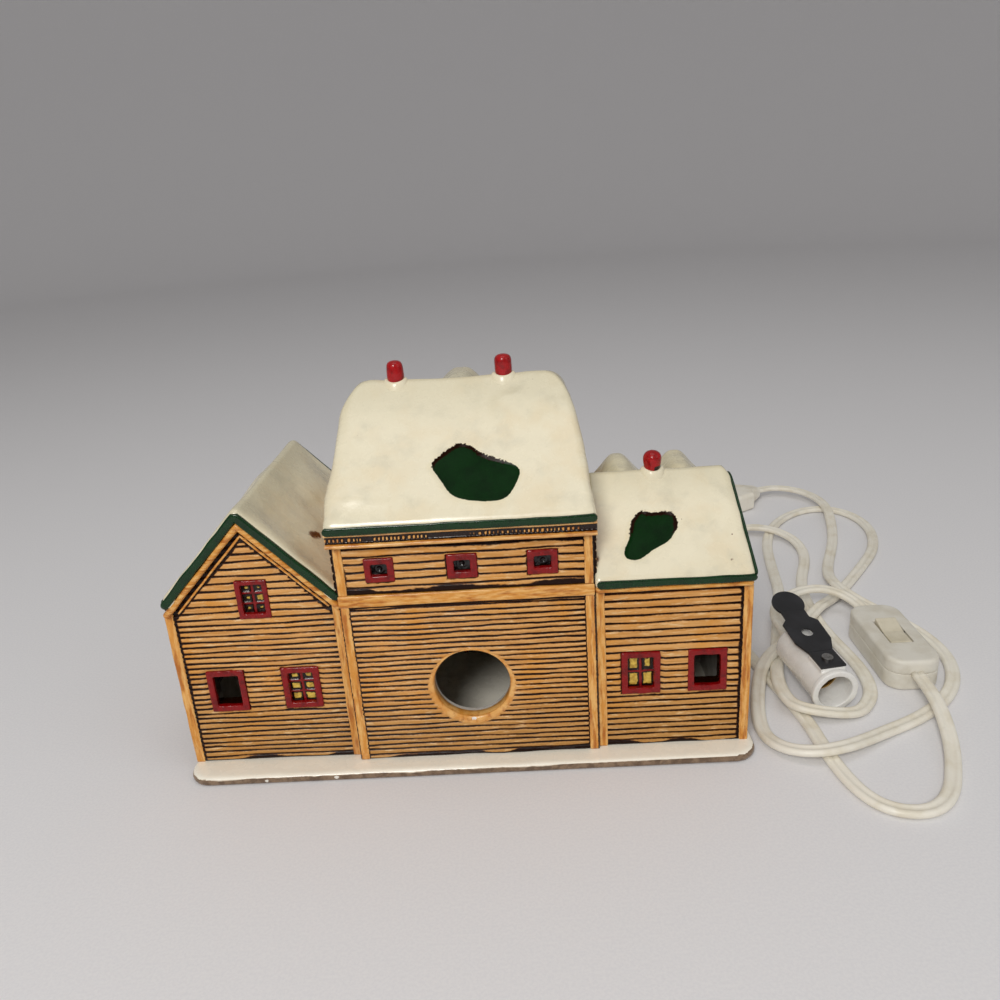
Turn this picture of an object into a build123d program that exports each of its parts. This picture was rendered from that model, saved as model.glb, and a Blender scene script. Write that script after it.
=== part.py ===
from build123d import *
import os
from math import atan, cos, pi, radians, sin, sqrt, tan

os.makedirs("parts", exist_ok=True)

# Plan of the house: X to the right, the side with the lamp hole faces -Y
base_length = 205.0
base_depth = 97.0
base_thickness = 3.2
base_corner_radius = 8.0
base_top_round = 1.3
base_foot_chamfer = 0.5
wall = 5.0
back_ledge = 8.2
left_ledge = 1.5
left_wing_width = 61.0
main_width = 87.0
right_wing_width = 52.5
main_depth = 76.0
left_setback = 3.0
left_projection = 4.5
right_setback = 1.5
right_wing_depth = 57.0

# Heights and roofs
wing_wall_height = 65.0
main_wall_height = 90.3
roof_edge = 3.2
roof_slab = 4.5
left_slab = 2.6
main_rise = 38.5
left_rise = 30.0
right_rise = 27.8
main_overhang = 4.5
main_end_overhang = 1.4
main_end_lean = 6.0
left_gable_overhang = 3.0
right_overhang = 4.0
right_end_overhang = 1.4
right_end_lean = 3.0
snow_round = 2.2

# Front gable and dormers
front_gable_span = 51.0
front_gable_wall_height = 11.8
dormer_span = 20.0
dormer_wall_height = 17.0
dormer_edge = 2.8
dormer_slab = 2.6
dormer_side_overhang = 1.5
dormer_front_overhang = 2.0
front_gable_x_share = 0.49
dormer_x_shares = (0.274, 0.699)

# Chimney pots and their snow collars
pot_diameter = 5.6
pot_height = 5.4
pot_top_round = 1.6
collar_diameter = 9.0
collar_rise = 0.9
main_pot_shares = (0.253, 0.692)
right_pot_share = 0.457

# Lamp hole and windows
lamp_hole_diameter = 27.0
lamp_hole_height = 29.5
lamp_hole_share = 0.494
lower_window_width = 13.4
lower_window_height = 16.6
lower_window_level_share = 0.4585
gable_window_width = 11.0
gable_window_height = 14.4
gable_window_lift = 0.7
small_window_width = 10.0
small_window_height = 8.6
small_window_level_share = 0.415
frame_border = 2.1
gable_frame_border = 1.6
frame_proud = 0.9
sash_setback = 1.2
sash_thickness = 2.0
bar_width = 0.9
bar_proud = 0.5
left_window_shares = (0.259, 0.70)
gable_window_share = 0.505
small_window_shares = (0.1736, 0.494, 0.8034)
right_window_shares = (0.2933, 0.7352)
front_lower_shares = (0.2, 0.79)
side_window_shares = (0.27, 0.73)

# Door and step
door_width = 18.0
door_height = 34.0
door_frame_border = 2.4
door_setback = 1.6
door_thickness = 2.4
door_panel_inset = 2.2
door_panel_proud = 0.6
step_width = 26.0
step_depth = 8.0
step_height = 2.4

# Painted trim on the wall faces
post_width = 3.3
post_proud = 1.1
beam_height = 4.15
beam_drop = 2.6
beam_proud = 1.5
main_fascia_height = 4.5
wing_fascia_height = 1.2
fascia_proud = 1.8
rake_board_height = 3.9
rake_board_proud = 1.6

# Lampholder on the cord
holder_length = 34.0
holder_radius = 8.45
holder_rim_radius = 9.15
holder_rim_length = 2.0
holder_rear_round = 2.6
holder_bore_radius = 6.85
holder_bore_depth = 29.0
insulator_thickness = 4.0
contact_radius = 2.0
contact_height = 1.2
shell_length = 14.0
shell_wall = 0.6

# Spring clip on the lampholder
clip_thickness = 0.8
clip_seat_rise = 0.3
clip_foot_length = 10.0
clip_foot_width = 10.0
clip_foot_from_mouth = 3.5
clip_gap = 0.25
clip_flare = 8.0
clip_body_length = 17.0
clip_body_width = 15.0
clip_taper_length = 6.0
clip_neck_length = 7.0
clip_neck_width = 10.0
clip_tab_radius = 6.6
clip_tab_tilt = 8.0
clip_hole_radius = 2.3
rivet_shank_radius = 1.2
rivet_head_radius = 2.1
rivet_head_height = 0.9
rivet_depth = 1.6

# In-line switch
switch_x = 174.0
switch_y = 14.0
switch_length = 48.0
switch_width = 21.0
switch_corner_radius = 7.0
switch_base_height = 7.5
switch_cover_height = 5.7
switch_wall = 1.6
switch_plate = 2.6
switch_round = 1.4
rocker_length = 17.0
rocker_width = 8.4
rocker_clearance = 0.6
rocker_rise = 2.3
rocker_dip = 1.2
rocker_depth = 3.2
rocker_keel_share = 0.3
rocker_tilt = 7.0
pin_radius = 0.75
pin_clearance = 0.1
pin_grip = 1.4

# Flat twin flex, kept here as a round tube of the same section area
cord_width = 5.4
cord_height = 2.7
cord_area = cord_height * (cord_width - cord_height) + pi * cord_height**2 / 4
cord_diameter = sqrt(4 * cord_area / pi)
arc_share = 0.45

# Plug
plug_width = 24.0
plug_height = 11.0
plug_tail_width = 9.0
plug_tail_height = 7.0
plug_neck_width = 14.0
plug_neck_length = 9.0
plug_shoulder_length = 4.0
plug_face_length = 15.0
plug_round = 2.6
blade_spacing = 12.7
blade_length = 17.0
blade_height = 6.4
blade_thickness = 1.5

# Route of the cord from the lampholder to the switch, and from the switch to the plug
lamp_route = [
    (132.5, 11.5, 12.0), (130.9, 21.0, 12.8), (131.0, 32.5, 12.6), (135.0, 43.2, 12.3),
    (143.0, 52.5, 12.0), (151.6, 57.7, 11.8), (160.5, 58.8, 11.4), (167.5, 56.1, 10.0),
    (172.2, 50.3, 8.5), (174.0, 43.0, 7.5), (174.0, 38.0, 7.5),
]
main_route = [
    (174.0, -10.0, 7.5), (174.0, -19.0, 7.5), (173.4, -31.0, 6.9), (170.0, -47.0, 3.4),
    (164.5, -60.0, 2.1), (159.5, -69.3, 2.1), (153.0, -76.3, 2.1), (145.2, -78.9, 2.1),
    (136.4, -76.5, 2.1), (130.7, -69.3, 2.1), (127.5, -56.0, 2.1), (126.4, -43.0, 2.1),
    (126.0, -30.0, 2.1), (123.2, -13.0, 2.1), (119.8, 3.5, 2.1), (116.7, 20.5, 2.1),
    (113.9, 38.5, 2.1), (111.6, 57.2, 2.1), (109.6, 77.0, 2.1), (108.5, 97.5, 2.1),
    (112.0, 118.0, 2.1), (121.0, 136.0, 2.1), (134.0, 148.0, 3.0), (149.0, 152.0, 6.9),
    (162.0, 147.5, 6.9), (171.0, 136.0, 5.0), (172.5, 122.0, 2.6), (168.5, 107.0, 2.1),
    (161.5, 91.0, 2.1), (157.0, 75.0, 2.1), (155.0, 58.0, 2.1), (154.7, 44.0, 2.1),
    (155.5, 30.0, 2.1), (157.5, 16.0, 2.1), (158.5, 3.0, 2.1), (156.6, -10.5, 2.1),
    (152.3, -21.0, 2.1), (145.4, -28.4, 2.1), (136.6, -31.2, 3.6), (127.8, -28.4, 6.4),
    (121.6, -21.2, 6.9), (120.8, -10.5, 6.9), (122.8, 1.0, 6.5), (126.8, 13.5, 2.4),
    (131.0, 28.0, 2.1), (136.0, 44.0, 2.1), (142.0, 62.0, 2.1), (147.0, 80.0, 2.1), (149.5, 98.0, 2.1),
    (152.5, 116.0, 2.1), (156.0, 133.0, 2.1), (163.0, 152.0, 2.1), (174.0, 168.0, 2.1),
    (188.0, 179.0, 2.1), (203.0, 181.5, 2.1), (214.0, 172.0, 2.1), (218.0, 156.0, 2.1),
    (216.0, 138.0, 2.1), (208.0, 118.0, 2.1), (195.9, 100.8, 2.1), (183.9, 84.8, 2.1),
    (172.7, 70.7, 2.1), (164.9, 61.6, 4.4), (157.5, 53.5, 6.9), (147.0, 40.0, 6.9),
    (137.0, 28.0, 6.9), (127.0, 18.0, 6.9), (118.0, 6.0, 6.9), (112.2, -10.0, 3.2),
    (108.5, -25.0, 2.1), (107.7, -37.0, 2.4), (112.3, -46.2, 4.6), (121.0, -50.6, 6.9),
    (131.5, -48.8, 6.9), (141.5, -43.3, 4.4), (152.5, -36.5, 2.3), (164.5, -30.8, 2.1),
    (178.0, -22.0, 2.1), (190.0, -8.0, 2.1), (196.5, 10.0, 2.1), (195.5, 28.0, 2.1),
    (189.0, 42.0, 3.2), (181.0, 52.5, 5.2), (175.0, 64.0, 6.9), (172.3, 77.0, 6.9),
    (174.5, 91.0, 4.0), (181.0, 108.0, 2.1), (187.5, 122.0, 2.1), (193.9, 138.0, 2.1),
    (199.4, 156.0, 3.2), (203.2, 174.5, 6.9), (202.4, 190.2, 6.9), (198.2, 201.7, 5.4),
    (191.2, 208.9, 4.8), (182.0, 211.3, 5.2), (173.4, 208.7, 5.5), (168.7, 205.8, 5.5),
]

# Places that follow from the sizes
floor_z = base_thickness
wing_top = floor_z + wing_wall_height
main_top = floor_z + main_wall_height
back_y = back_ledge - base_depth / 2
left_x = left_ledge - base_length / 2
main_x0 = left_x + left_wing_width
main_x1 = main_x0 + main_width
right_x = main_x1 + right_wing_width
main_front_y = back_y + main_depth
left_back_y = back_y + left_setback
left_front_y = main_front_y + left_projection
right_back_y = back_y + right_setback
right_front_y = right_back_y + right_wing_depth
main_mid_y = (back_y + main_front_y) / 2
left_mid_x = (left_x + main_x0) / 2
right_mid_y = (right_back_y + right_front_y) / 2
lamp_hole_x = main_x0 + lamp_hole_share * main_width
lamp_hole_z = floor_z + lamp_hole_height
lower_window_z = floor_z + lower_window_level_share * wing_wall_height
gable_window_z = wing_top + gable_window_lift
small_window_z = wing_top + small_window_level_share * (main_top - wing_top)


def back_face(y):
    """Plane on a wall's outer face that looks along -Y: local x is X, local y is Z."""
    return Plane((0, y, 0), x_dir=(1, 0, 0), z_dir=(0, -1, 0))


def front_face(y):
    """Plane on a wall's outer face that looks along +Y: local x is -X, local y is Z."""
    return Plane((0, y, 0), x_dir=(-1, 0, 0), z_dir=(0, 1, 0))


def left_face(x):
    """Plane on a wall's outer face that looks along -X: local x is -Y, local y is Z."""
    return Plane((x, 0, 0), x_dir=(0, -1, 0), z_dir=(-1, 0, 0))


def right_face(x):
    """Plane on a wall's outer face that looks along +X: local x is Y, local y is Z."""
    return Plane((x, 0, 0), x_dir=(0, 1, 0), z_dir=(1, 0, 0))


def save(name, piece):
    """Label a finished piece and write it to its own file."""
    piece.part.label = name
    export_step(piece.part, f"parts/{name}.step")


def gable_block(middle, along, across, length, span, edge, rise, lean):
    """A solid roof block: upright eave edges, two slopes to a ridge, ends that lean inward."""
    half_span = span / 2
    half_length = length / 2
    top = edge + rise
    with BuildPart() as block:
        with BuildSketch(Plane(middle, x_dir=across, z_dir=along)):
            with BuildLine():
                Polyline(
                    (-half_span, 0), (half_span, 0), (half_span, edge), (0, top), (-half_span, edge),
                    close=True,
                )
            make_face()
        extrude(amount=half_length, both=True)
        with BuildSketch(Plane(middle, x_dir=along, z_dir=-Vector(across))):
            with BuildLine():
                Polyline(
                    (-half_length, 0), (half_length, 0), (half_length - lean, top), (lean - half_length, top),
                    close=True,
                )
            make_face()
        extrude(amount=half_span, both=True, mode=Mode.INTERSECT)
    return block.part


def rounded_snow(block):
    """The roof block with every edge above its flat underside rounded over."""
    with BuildPart() as snow:
        add(block)
        under = snow.faces().sort_by(Axis.Z)[0]
        upper_edges = [edge for edge in snow.edges() if edge not in under.edges()]
        fillet(upper_edges, snow_round)
    return snow.part


def hollow_section(span, inner_span, edge, rise, slab):
    """Edge height and rise of the space under a roof slab, between the walls' inner faces."""
    slope = rise / (span / 2)
    slant = atan(slope)
    inner_edge = edge + (span - inner_span) / 2 * slope - slab / cos(slant)
    return inner_edge, inner_span / 2 * slope


def wall_panel(plane, outline, openings, round_holes=()):
    """A wall of the common thickness behind its outer face, with its openings."""
    with BuildPart() as panel:
        with BuildSketch(plane):
            with BuildLine():
                Polyline(*outline, close=True)
            make_face()
            for u, z, width, height, border, panes in openings:
                with Locations((u, z)):
                    Rectangle(width, height, mode=Mode.SUBTRACT)
            for u, z, diameter in round_holes:
                with Locations((u, z)):
                    Circle(diameter / 2, mode=Mode.SUBTRACT)
        extrude(amount=-wall)
    return panel


def window_frames(plane, windows):
    """Frames that fill their wall openings and stand a little proud of the wall."""
    with BuildPart() as frames:
        with BuildSketch(plane.offset(-wall)):
            for u, z, width, height, border, panes in windows:
                with Locations((u, z)):
                    Rectangle(width, height)
                    Rectangle(width - 2 * border, height - 2 * border, mode=Mode.SUBTRACT)
        extrude(amount=wall + frame_proud)
    return frames.part


def window_sashes(plane, windows):
    """Painted panes set back in their frames, with raised glazing bars."""
    with BuildPart() as sashes:
        for u, z, width, height, border, panes in windows:
            open_width = width - 2 * border
            open_height = height - 2 * border
            columns, rows = panes
            with BuildSketch(plane.offset(-sash_setback)):
                with Locations((u, z)):
                    Rectangle(open_width, open_height)
            extrude(amount=-sash_thickness)
            with BuildSketch(plane.offset(-sash_setback)):
                for column in range(1, columns):
                    with Locations((u + open_width * (column / columns - 1 / 2), z)):
                        Rectangle(bar_width, open_height)
                for row in range(1, rows):
                    with Locations((u, z + open_height * (row / rows - 1 / 2))):
                        Rectangle(open_width, bar_width)
            extrude(amount=bar_proud)
    return sashes.part


def lower_window(u, panes):
    return (u, lower_window_z, lower_window_width, lower_window_height, frame_border, panes)


def gable_window(u, panes):
    return (u, gable_window_z, gable_window_width, gable_window_height, gable_frame_border, panes)


def small_window(u, panes):
    return (u, small_window_z, small_window_width, small_window_height, frame_border, panes)


def rectangle_outline(u0, u1, z0, z1):
    return [(u0, z0), (u1, z0), (u1, z1), (u0, z1)]


# Windows of each wall: place along the wall, height, size, border and panes
open_window = (1, 1)
left_window_x = [left_x + share * left_wing_width for share in left_window_shares]
left_gable_x = left_x + gable_window_share * left_wing_width
small_window_x = [main_x0 + share * main_width for share in small_window_shares]
right_window_x = [main_x1 + share * right_wing_width for share in right_window_shares]
front_lower_x = [main_x0 + share * main_width for share in front_lower_shares]
side_span_left = left_front_y - left_back_y
side_window_y = [left_back_y + share * side_span_left for share in side_window_shares]
end_window_y = [right_back_y + share * right_wing_depth for share in side_window_shares]

back_windows = {
    "left_open_window_frame": (left_back_y, lower_window(left_window_x[0], open_window)),
    "left_pane_window_frame": (left_back_y, lower_window(left_window_x[1], (2, 3))),
    "left_gable_window_frame": (left_back_y, gable_window(left_gable_x, (2, 3))),
    "upper_left_window_frame": (back_y, small_window(small_window_x[0], open_window)),
    "upper_middle_window_frame": (back_y, small_window(small_window_x[1], open_window)),
    "upper_right_window_frame": (back_y, small_window(small_window_x[2], open_window)),
    "right_pane_window_frame": (right_back_y, lower_window(right_window_x[0], (2, 2))),
    "right_open_window_frame": (right_back_y, lower_window(right_window_x[1], open_window)),
}
left_back_windows = [window for face, window in back_windows.values() if face == left_back_y]
main_back_windows = [window for face, window in back_windows.values() if face == back_y]
right_back_windows = [window for face, window in back_windows.values() if face == right_back_y]
left_front_windows = [lower_window(-x, (2, 3)) for x in left_window_x]
left_front_windows.append(gable_window(-left_gable_x, (2, 3)))
main_front_windows = [lower_window(-x, (2, 3)) for x in front_lower_x]
main_front_windows += [small_window(-x, (2, 2)) for x in small_window_x]
right_front_windows = [lower_window(-x, (2, 2)) for x in right_window_x]
left_side_windows = [lower_window(-y, (2, 3)) for y in side_window_y]
right_end_windows = [lower_window(y, (2, 2)) for y in end_window_y]

# Base slab with a rounded snow edge and an unglazed foot
with BuildPart() as base_slab:
    with BuildSketch():
        RectangleRounded(base_length, base_depth, base_corner_radius)
    extrude(amount=base_thickness)
    fillet(base_slab.edges().group_by(Axis.Z)[-1], base_top_round)
    chamfer(base_slab.edges().group_by(Axis.Z)[0], base_foot_chamfer)
save("base_slab", base_slab)

# Left wing walls: gables at the back and the front that rise into the hollow of the roof
left_inner_span = left_wing_width - 2 * wall
left_inner_edge, left_inner_rise = hollow_section(
    left_wing_width, left_inner_span, roof_edge, left_rise, left_slab
)


def left_gable_outline(mirror):
    """Outline of a left wing gable wall; mirror is -1 where local x runs against X."""
    near = left_x + wall
    far = main_x0 - wall
    spring = wing_top + left_inner_edge
    peak = spring + left_inner_rise
    points = [
        (left_x, floor_z), (main_x0, floor_z), (main_x0, wing_top), (far, wing_top), (far, spring),
        (left_mid_x, peak), (near, spring), (near, wing_top), (left_x, wing_top),
    ]
    return [(mirror * x, z) for x, z in points]


left_back_wall = wall_panel(back_face(left_back_y), left_gable_outline(1), left_back_windows)
save("left_back_wall", left_back_wall)
left_front_wall = wall_panel(front_face(left_front_y), left_gable_outline(-1), left_front_windows)
save("left_front_wall", left_front_wall)
left_side_wall = wall_panel(
    left_face(left_x),
    rectangle_outline(wall - left_front_y, -left_back_y - wall, floor_z, wing_top),
    left_side_windows,
)
save("left_side_wall", left_side_wall)

# Main walls: the back wall has the lamp hole, the front wall has the doorway
main_back_wall = wall_panel(
    back_face(back_y),
    rectangle_outline(main_x0, main_x1, floor_z, main_top),
    main_back_windows,
    [(lamp_hole_x, lamp_hole_z, lamp_hole_diameter)],
)
save("main_back_wall", main_back_wall)

door_x = lamp_hole_x
door_z = floor_z + door_height / 2
doorway = (-door_x, door_z, door_width, door_height, door_frame_border, open_window)
main_front_wall = wall_panel(
    front_face(main_front_y),
    rectangle_outline(-main_x1, -main_x0, floor_z, main_top),
    main_front_windows + [doorway],
)
save("main_front_wall", main_front_wall)

main_inner_back = back_y + wall
main_inner_front = main_front_y - wall
right_inner_front = right_front_y - wall
main_left_wall = wall_panel(
    left_face(main_x0), rectangle_outline(-main_inner_front, -main_inner_back, wing_top, main_top), []
)
save("main_left_wall", main_left_wall)
main_right_outline = [
    (main_inner_back, wing_top), (right_inner_front, wing_top), (right_inner_front, floor_z),
    (main_inner_front, floor_z), (main_inner_front, main_top), (main_inner_back, main_top),
]
main_right_wall = wall_panel(right_face(main_x1), main_right_outline, [])
save("main_right_wall", main_right_wall)

# Right wing walls
right_back_wall = wall_panel(
    back_face(right_back_y), rectangle_outline(main_x1, right_x, floor_z, wing_top), right_back_windows
)
save("right_back_wall", right_back_wall)
right_front_wall = wall_panel(
    front_face(right_front_y), rectangle_outline(-right_x, -main_x1, floor_z, wing_top), right_front_windows
)
save("right_front_wall", right_front_wall)
right_end_wall = wall_panel(
    right_face(right_x),
    rectangle_outline(right_back_y + wall, right_inner_front, floor_z, wing_top),
    right_end_windows,
)
save("right_end_wall", right_end_wall)

# Main roof: hollow over the walls, closed ends that lean inward
along_x = (1, 0, 0)
across_x = (0, 1, 0)
along_y = (0, 1, 0)
across_y = (-1, 0, 0)
main_span = main_depth + 2 * main_overhang
main_roof_length = main_width + 2 * main_end_overhang
main_mid_x = (main_x0 + main_x1) / 2
main_foot = (main_mid_x, main_mid_y, main_top)
main_inner_span = main_depth - 2 * wall
main_inner_edge, main_inner_rise = hollow_section(
    main_span, main_inner_span, roof_edge, main_rise, roof_slab
)
main_inner_lean = main_end_lean * (main_inner_edge + main_inner_rise) / (roof_edge + main_rise)
main_snow = rounded_snow(
    gable_block(
        main_foot, along_x, across_x, main_roof_length, main_span, roof_edge, main_rise, main_end_lean
    )
)
main_hollow = gable_block(
    main_foot, along_x, across_x, main_width - 2 * wall, main_inner_span,
    main_inner_edge, main_inner_rise, main_inner_lean,
)
with BuildPart() as main_roof:
    add(main_snow)
    add(main_hollow, mode=Mode.SUBTRACT)
save("main_roof", main_roof)

# Left roof: ridge from back to front, open at both gables
left_roof_back = left_back_y - left_gable_overhang
left_roof_front = left_front_y + left_gable_overhang
left_roof_length = left_roof_front - left_roof_back
left_foot = (left_mid_x, (left_roof_back + left_roof_front) / 2, wing_top)
left_snow = rounded_snow(
    gable_block(left_foot, along_y, across_y, left_roof_length, left_wing_width, roof_edge, left_rise, 0)
)
left_hollow = gable_block(
    left_foot, along_y, across_y, left_roof_length, left_inner_span, left_inner_edge, left_inner_rise, 0
)
with BuildPart() as left_roof:
    add(left_snow)
    add(left_hollow, mode=Mode.SUBTRACT)
save("left_roof", left_roof)

# Right roof: built through into the main block and cut back to its wall and roof
right_span = right_wing_depth + 2 * right_overhang
right_roof_start = main_x1 - right_end_lean - wall
right_roof_end = right_x + right_end_overhang
right_roof_length = right_roof_end - right_roof_start
right_foot = ((right_roof_start + right_roof_end) / 2, right_mid_y, wing_top)
right_inner_span = right_wing_depth - 2 * wall
right_inner_edge, right_inner_rise = hollow_section(
    right_span, right_inner_span, roof_edge, right_rise, roof_slab
)
right_snow = rounded_snow(
    gable_block(
        right_foot, along_x, across_x, right_roof_length, right_span, roof_edge, right_rise, right_end_lean
    )
)
right_hollow_end = right_x - wall
right_inner_lean = right_end_lean * (right_inner_edge + right_inner_rise) / (roof_edge + right_rise)
right_hollow_foot = ((right_roof_start + right_hollow_end) / 2, right_mid_y, wing_top)
right_hollow = gable_block(
    right_hollow_foot, along_x, across_x, right_hollow_end - right_roof_start, right_inner_span,
    right_inner_edge, right_inner_rise, right_inner_lean,
)
with BuildPart() as right_roof:
    add(right_snow)
    add(right_hollow, mode=Mode.SUBTRACT)
    with BuildSketch(Plane.XY.offset(wing_top)):
        with Locations(((main_mid_x, main_mid_y))):
            Rectangle(main_width, 2 * main_depth)
    extrude(amount=main_top - wing_top, mode=Mode.SUBTRACT)
    add(main_snow, mode=Mode.SUBTRACT)
save("right_roof", right_roof)


def dormer(x, front_y, ridge_y, foot_z, wall_height, span, slope, host):
    """A small gable that sits on a roof's slope: its wall block and its snow roof."""
    overhang = dormer_side_overhang
    rise = span / 2 * slope
    wall_span = span - 2 * overhang
    wall_edge, wall_rise = hollow_section(span, wall_span, dormer_edge, rise, dormer_slab)
    depth = front_y - ridge_y
    roof_depth = depth + dormer_front_overhang
    wall_middle = (x, ridge_y + depth / 2, foot_z)
    roof_middle = (x, ridge_y + roof_depth / 2, foot_z + wall_height)
    wall_block = gable_block(
        wall_middle, along_y, across_y, depth, wall_span, wall_height + wall_edge, wall_rise, 0
    )
    roof_block = gable_block(roof_middle, along_y, across_y, roof_depth, span, dormer_edge, rise, 0)
    with BuildPart() as wall_piece:
        add(wall_block)
        add(host, mode=Mode.SUBTRACT)
    with BuildPart() as roof_piece:
        add(roof_block)
        add(wall_block, mode=Mode.SUBTRACT)
        add(host, mode=Mode.SUBTRACT)
    return wall_piece.part, roof_piece.part


# Front gable over the door
main_slope = main_rise / (main_span / 2)
right_slope = right_rise / (right_span / 2)
front_gable_x = main_x0 + front_gable_x_share * main_width
gable_wall_solid, gable_roof_solid = dormer(
    front_gable_x, main_front_y, main_mid_y, main_top, front_gable_wall_height, front_gable_span,
    main_slope, main_snow,
)
with BuildPart() as front_gable_wall:
    add(gable_wall_solid)
save("front_gable_wall", front_gable_wall)
with BuildPart() as front_gable_roof:
    add(gable_roof_solid)
save("front_gable_roof", front_gable_roof)

# Two dormers on the front slope of the right roof
dormer_solids = [
    dormer(
        main_x1 + share * right_wing_width, right_front_y, right_mid_y, wing_top, dormer_wall_height,
        dormer_span, right_slope, right_snow,
    )
    for share in dormer_x_shares
]
with BuildPart() as dormer_walls:
    for wall_solid, roof_solid in dormer_solids:
        add(wall_solid)
save("dormer_walls", dormer_walls)
with BuildPart() as dormer_roofs:
    for wall_solid, roof_solid in dormer_solids:
        add(roof_solid)
save("dormer_roofs", dormer_roofs)

# Chimney pots on the ridges, each in a collar of snow that is shaped to its roof
main_ridge = main_top + roof_edge + main_rise
right_ridge = wing_top + roof_edge + right_rise
pot_places = [
    ("chimney_pot_left", main_x0 + main_pot_shares[0] * main_width, main_mid_y, main_ridge),
    ("chimney_pot_middle", main_x0 + main_pot_shares[1] * main_width, main_mid_y, main_ridge),
    ("chimney_pot_right", main_x1 + right_pot_share * right_wing_width, right_mid_y, right_ridge),
]
collar_drop = collar_diameter / 2 * main_slope
with BuildPart() as snow_collars:
    for name, x, y, ridge in pot_places:
        with BuildSketch(Plane.XY.offset(ridge - collar_drop)):
            with Locations((x, y)):
                Circle(collar_diameter / 2)
        extrude(amount=collar_drop + collar_rise)
    add(main_snow, mode=Mode.SUBTRACT)
    add(right_snow, mode=Mode.SUBTRACT)
save("snow_collars", snow_collars)
for name, x, y, ridge in pot_places:
    with BuildPart() as chimney_pot:
        with BuildSketch(Plane.XY.offset(ridge + collar_rise)):
            with Locations((x, y)):
                Circle(pot_diameter / 2)
        extrude(amount=pot_height)
        fillet(chimney_pot.edges().group_by(Axis.Z)[-1], pot_top_round)
    save(name, chimney_pot)

# Window frames and painted panes of the back
for name, (face_y, window) in back_windows.items():
    with BuildPart() as window_frame:
        add(window_frames(back_face(face_y), [window]))
    save(name, window_frame)
for name, (face_y, window) in back_windows.items():
    if window[-1] != open_window:
        with BuildPart() as window_sash:
            add(window_sashes(back_face(face_y), [window]))
        save(name.replace("frame", "sash"), window_sash)

# Window frames and painted panes of the front and the sides
front_sets = [
    (front_face(left_front_y), left_front_windows),
    (front_face(main_front_y), main_front_windows),
    (front_face(right_front_y), right_front_windows),
]
side_sets = [(left_face(left_x), left_side_windows), (right_face(right_x), right_end_windows)]
for side, window_sets in (("front", front_sets), ("side", side_sets)):
    with BuildPart() as frames_group:
        for plane, windows in window_sets:
            add(window_frames(plane, windows))
    save(f"{side}_window_frames", frames_group)
    with BuildPart() as sashes_group:
        for plane, windows in window_sets:
            add(window_sashes(plane, windows))
    save(f"{side}_window_sashes", sashes_group)

# Front door in its frame, and the step
door_open_width = door_width - 2 * door_frame_border
door_open_height = door_height - door_frame_border
door_open_z = floor_z + door_open_height / 2
with BuildPart() as door_frame:
    with BuildSketch(front_face(main_front_y - wall)):
        with Locations((-door_x, door_z)):
            Rectangle(door_width, door_height)
        with Locations((-door_x, door_open_z)):
            Rectangle(door_open_width, door_open_height, mode=Mode.SUBTRACT)
    extrude(amount=wall + frame_proud)
save("door_frame", door_frame)
with BuildPart() as front_door:
    with BuildSketch(front_face(main_front_y - door_setback)):
        with Locations((-door_x, door_open_z)):
            Rectangle(door_open_width, door_open_height)
    extrude(amount=-door_thickness)
    panel_height = (door_open_height - 3 * door_panel_inset) / 2
    with BuildSketch(front_face(main_front_y - door_setback)):
        with Locations((-door_x, door_open_z)):
            with GridLocations(0, panel_height + door_panel_inset, 1, 2):
                Rectangle(door_open_width - 2 * door_panel_inset, panel_height)
    extrude(amount=door_panel_proud)
save("front_door", front_door)
with BuildPart() as front_step:
    with BuildSketch(Plane.XY.offset(floor_z)):
        with Locations((door_x, main_front_y + post_proud + step_depth / 2)):
            Rectangle(step_width, step_depth)
    extrude(amount=step_height)
save("front_step", front_step)

# Corner posts: a strip on each side of every outer corner
post_top = wing_top - beam_drop
main_post_top = main_top - main_fascia_height
upper_post_z = post_top + beam_height


def strip(plane, u0, u1, z0, z1, proud):
    """A flat board on a wall face."""
    with BuildPart() as board:
        with BuildSketch(plane):
            with Locations(((u0 + u1) / 2, (z0 + z1) / 2)):
                Rectangle(u1 - u0, z1 - z0)
        extrude(amount=proud)
    return board.part


with BuildPart() as corner_posts:
    post_faces = [
        (back_face, 1, left_back_y, back_y, right_back_y),
        (front_face, -1, left_front_y, main_front_y, right_front_y),
    ]
    for face, sign, left_y, main_y, right_y in post_faces:
        lower_strips = [
            (left_y, left_x - post_proud, left_x + post_width - post_proud),
            (left_y, main_x0 - post_width, main_x0),
            (main_y, main_x0, main_x0 + post_width),
            (main_y, main_x1 - post_width, main_x1),
            (right_y, main_x1, main_x1 + post_width),
            (right_y, right_x - post_width + post_proud, right_x + post_proud),
        ]
        for face_y, x0, x1 in lower_strips:
            add(strip(face(face_y), *sorted((sign * x0, sign * x1)), floor_z, post_top, post_proud))
        for x0, x1 in ((main_x0, main_x0 + post_width), (main_x1 - post_width, main_x1)):
            add(strip(face(main_y), *sorted((sign * x0, sign * x1)), upper_post_z, main_post_top, post_proud))
    for y in (left_back_y, left_front_y - post_width):
        add(strip(left_face(left_x), -y - post_width, -y, floor_z, post_top, post_proud))
    for y in (right_back_y, right_front_y - post_width):
        add(strip(right_face(right_x), y, y + post_width, floor_z, post_top, post_proud))
save("corner_posts", corner_posts)

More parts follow.
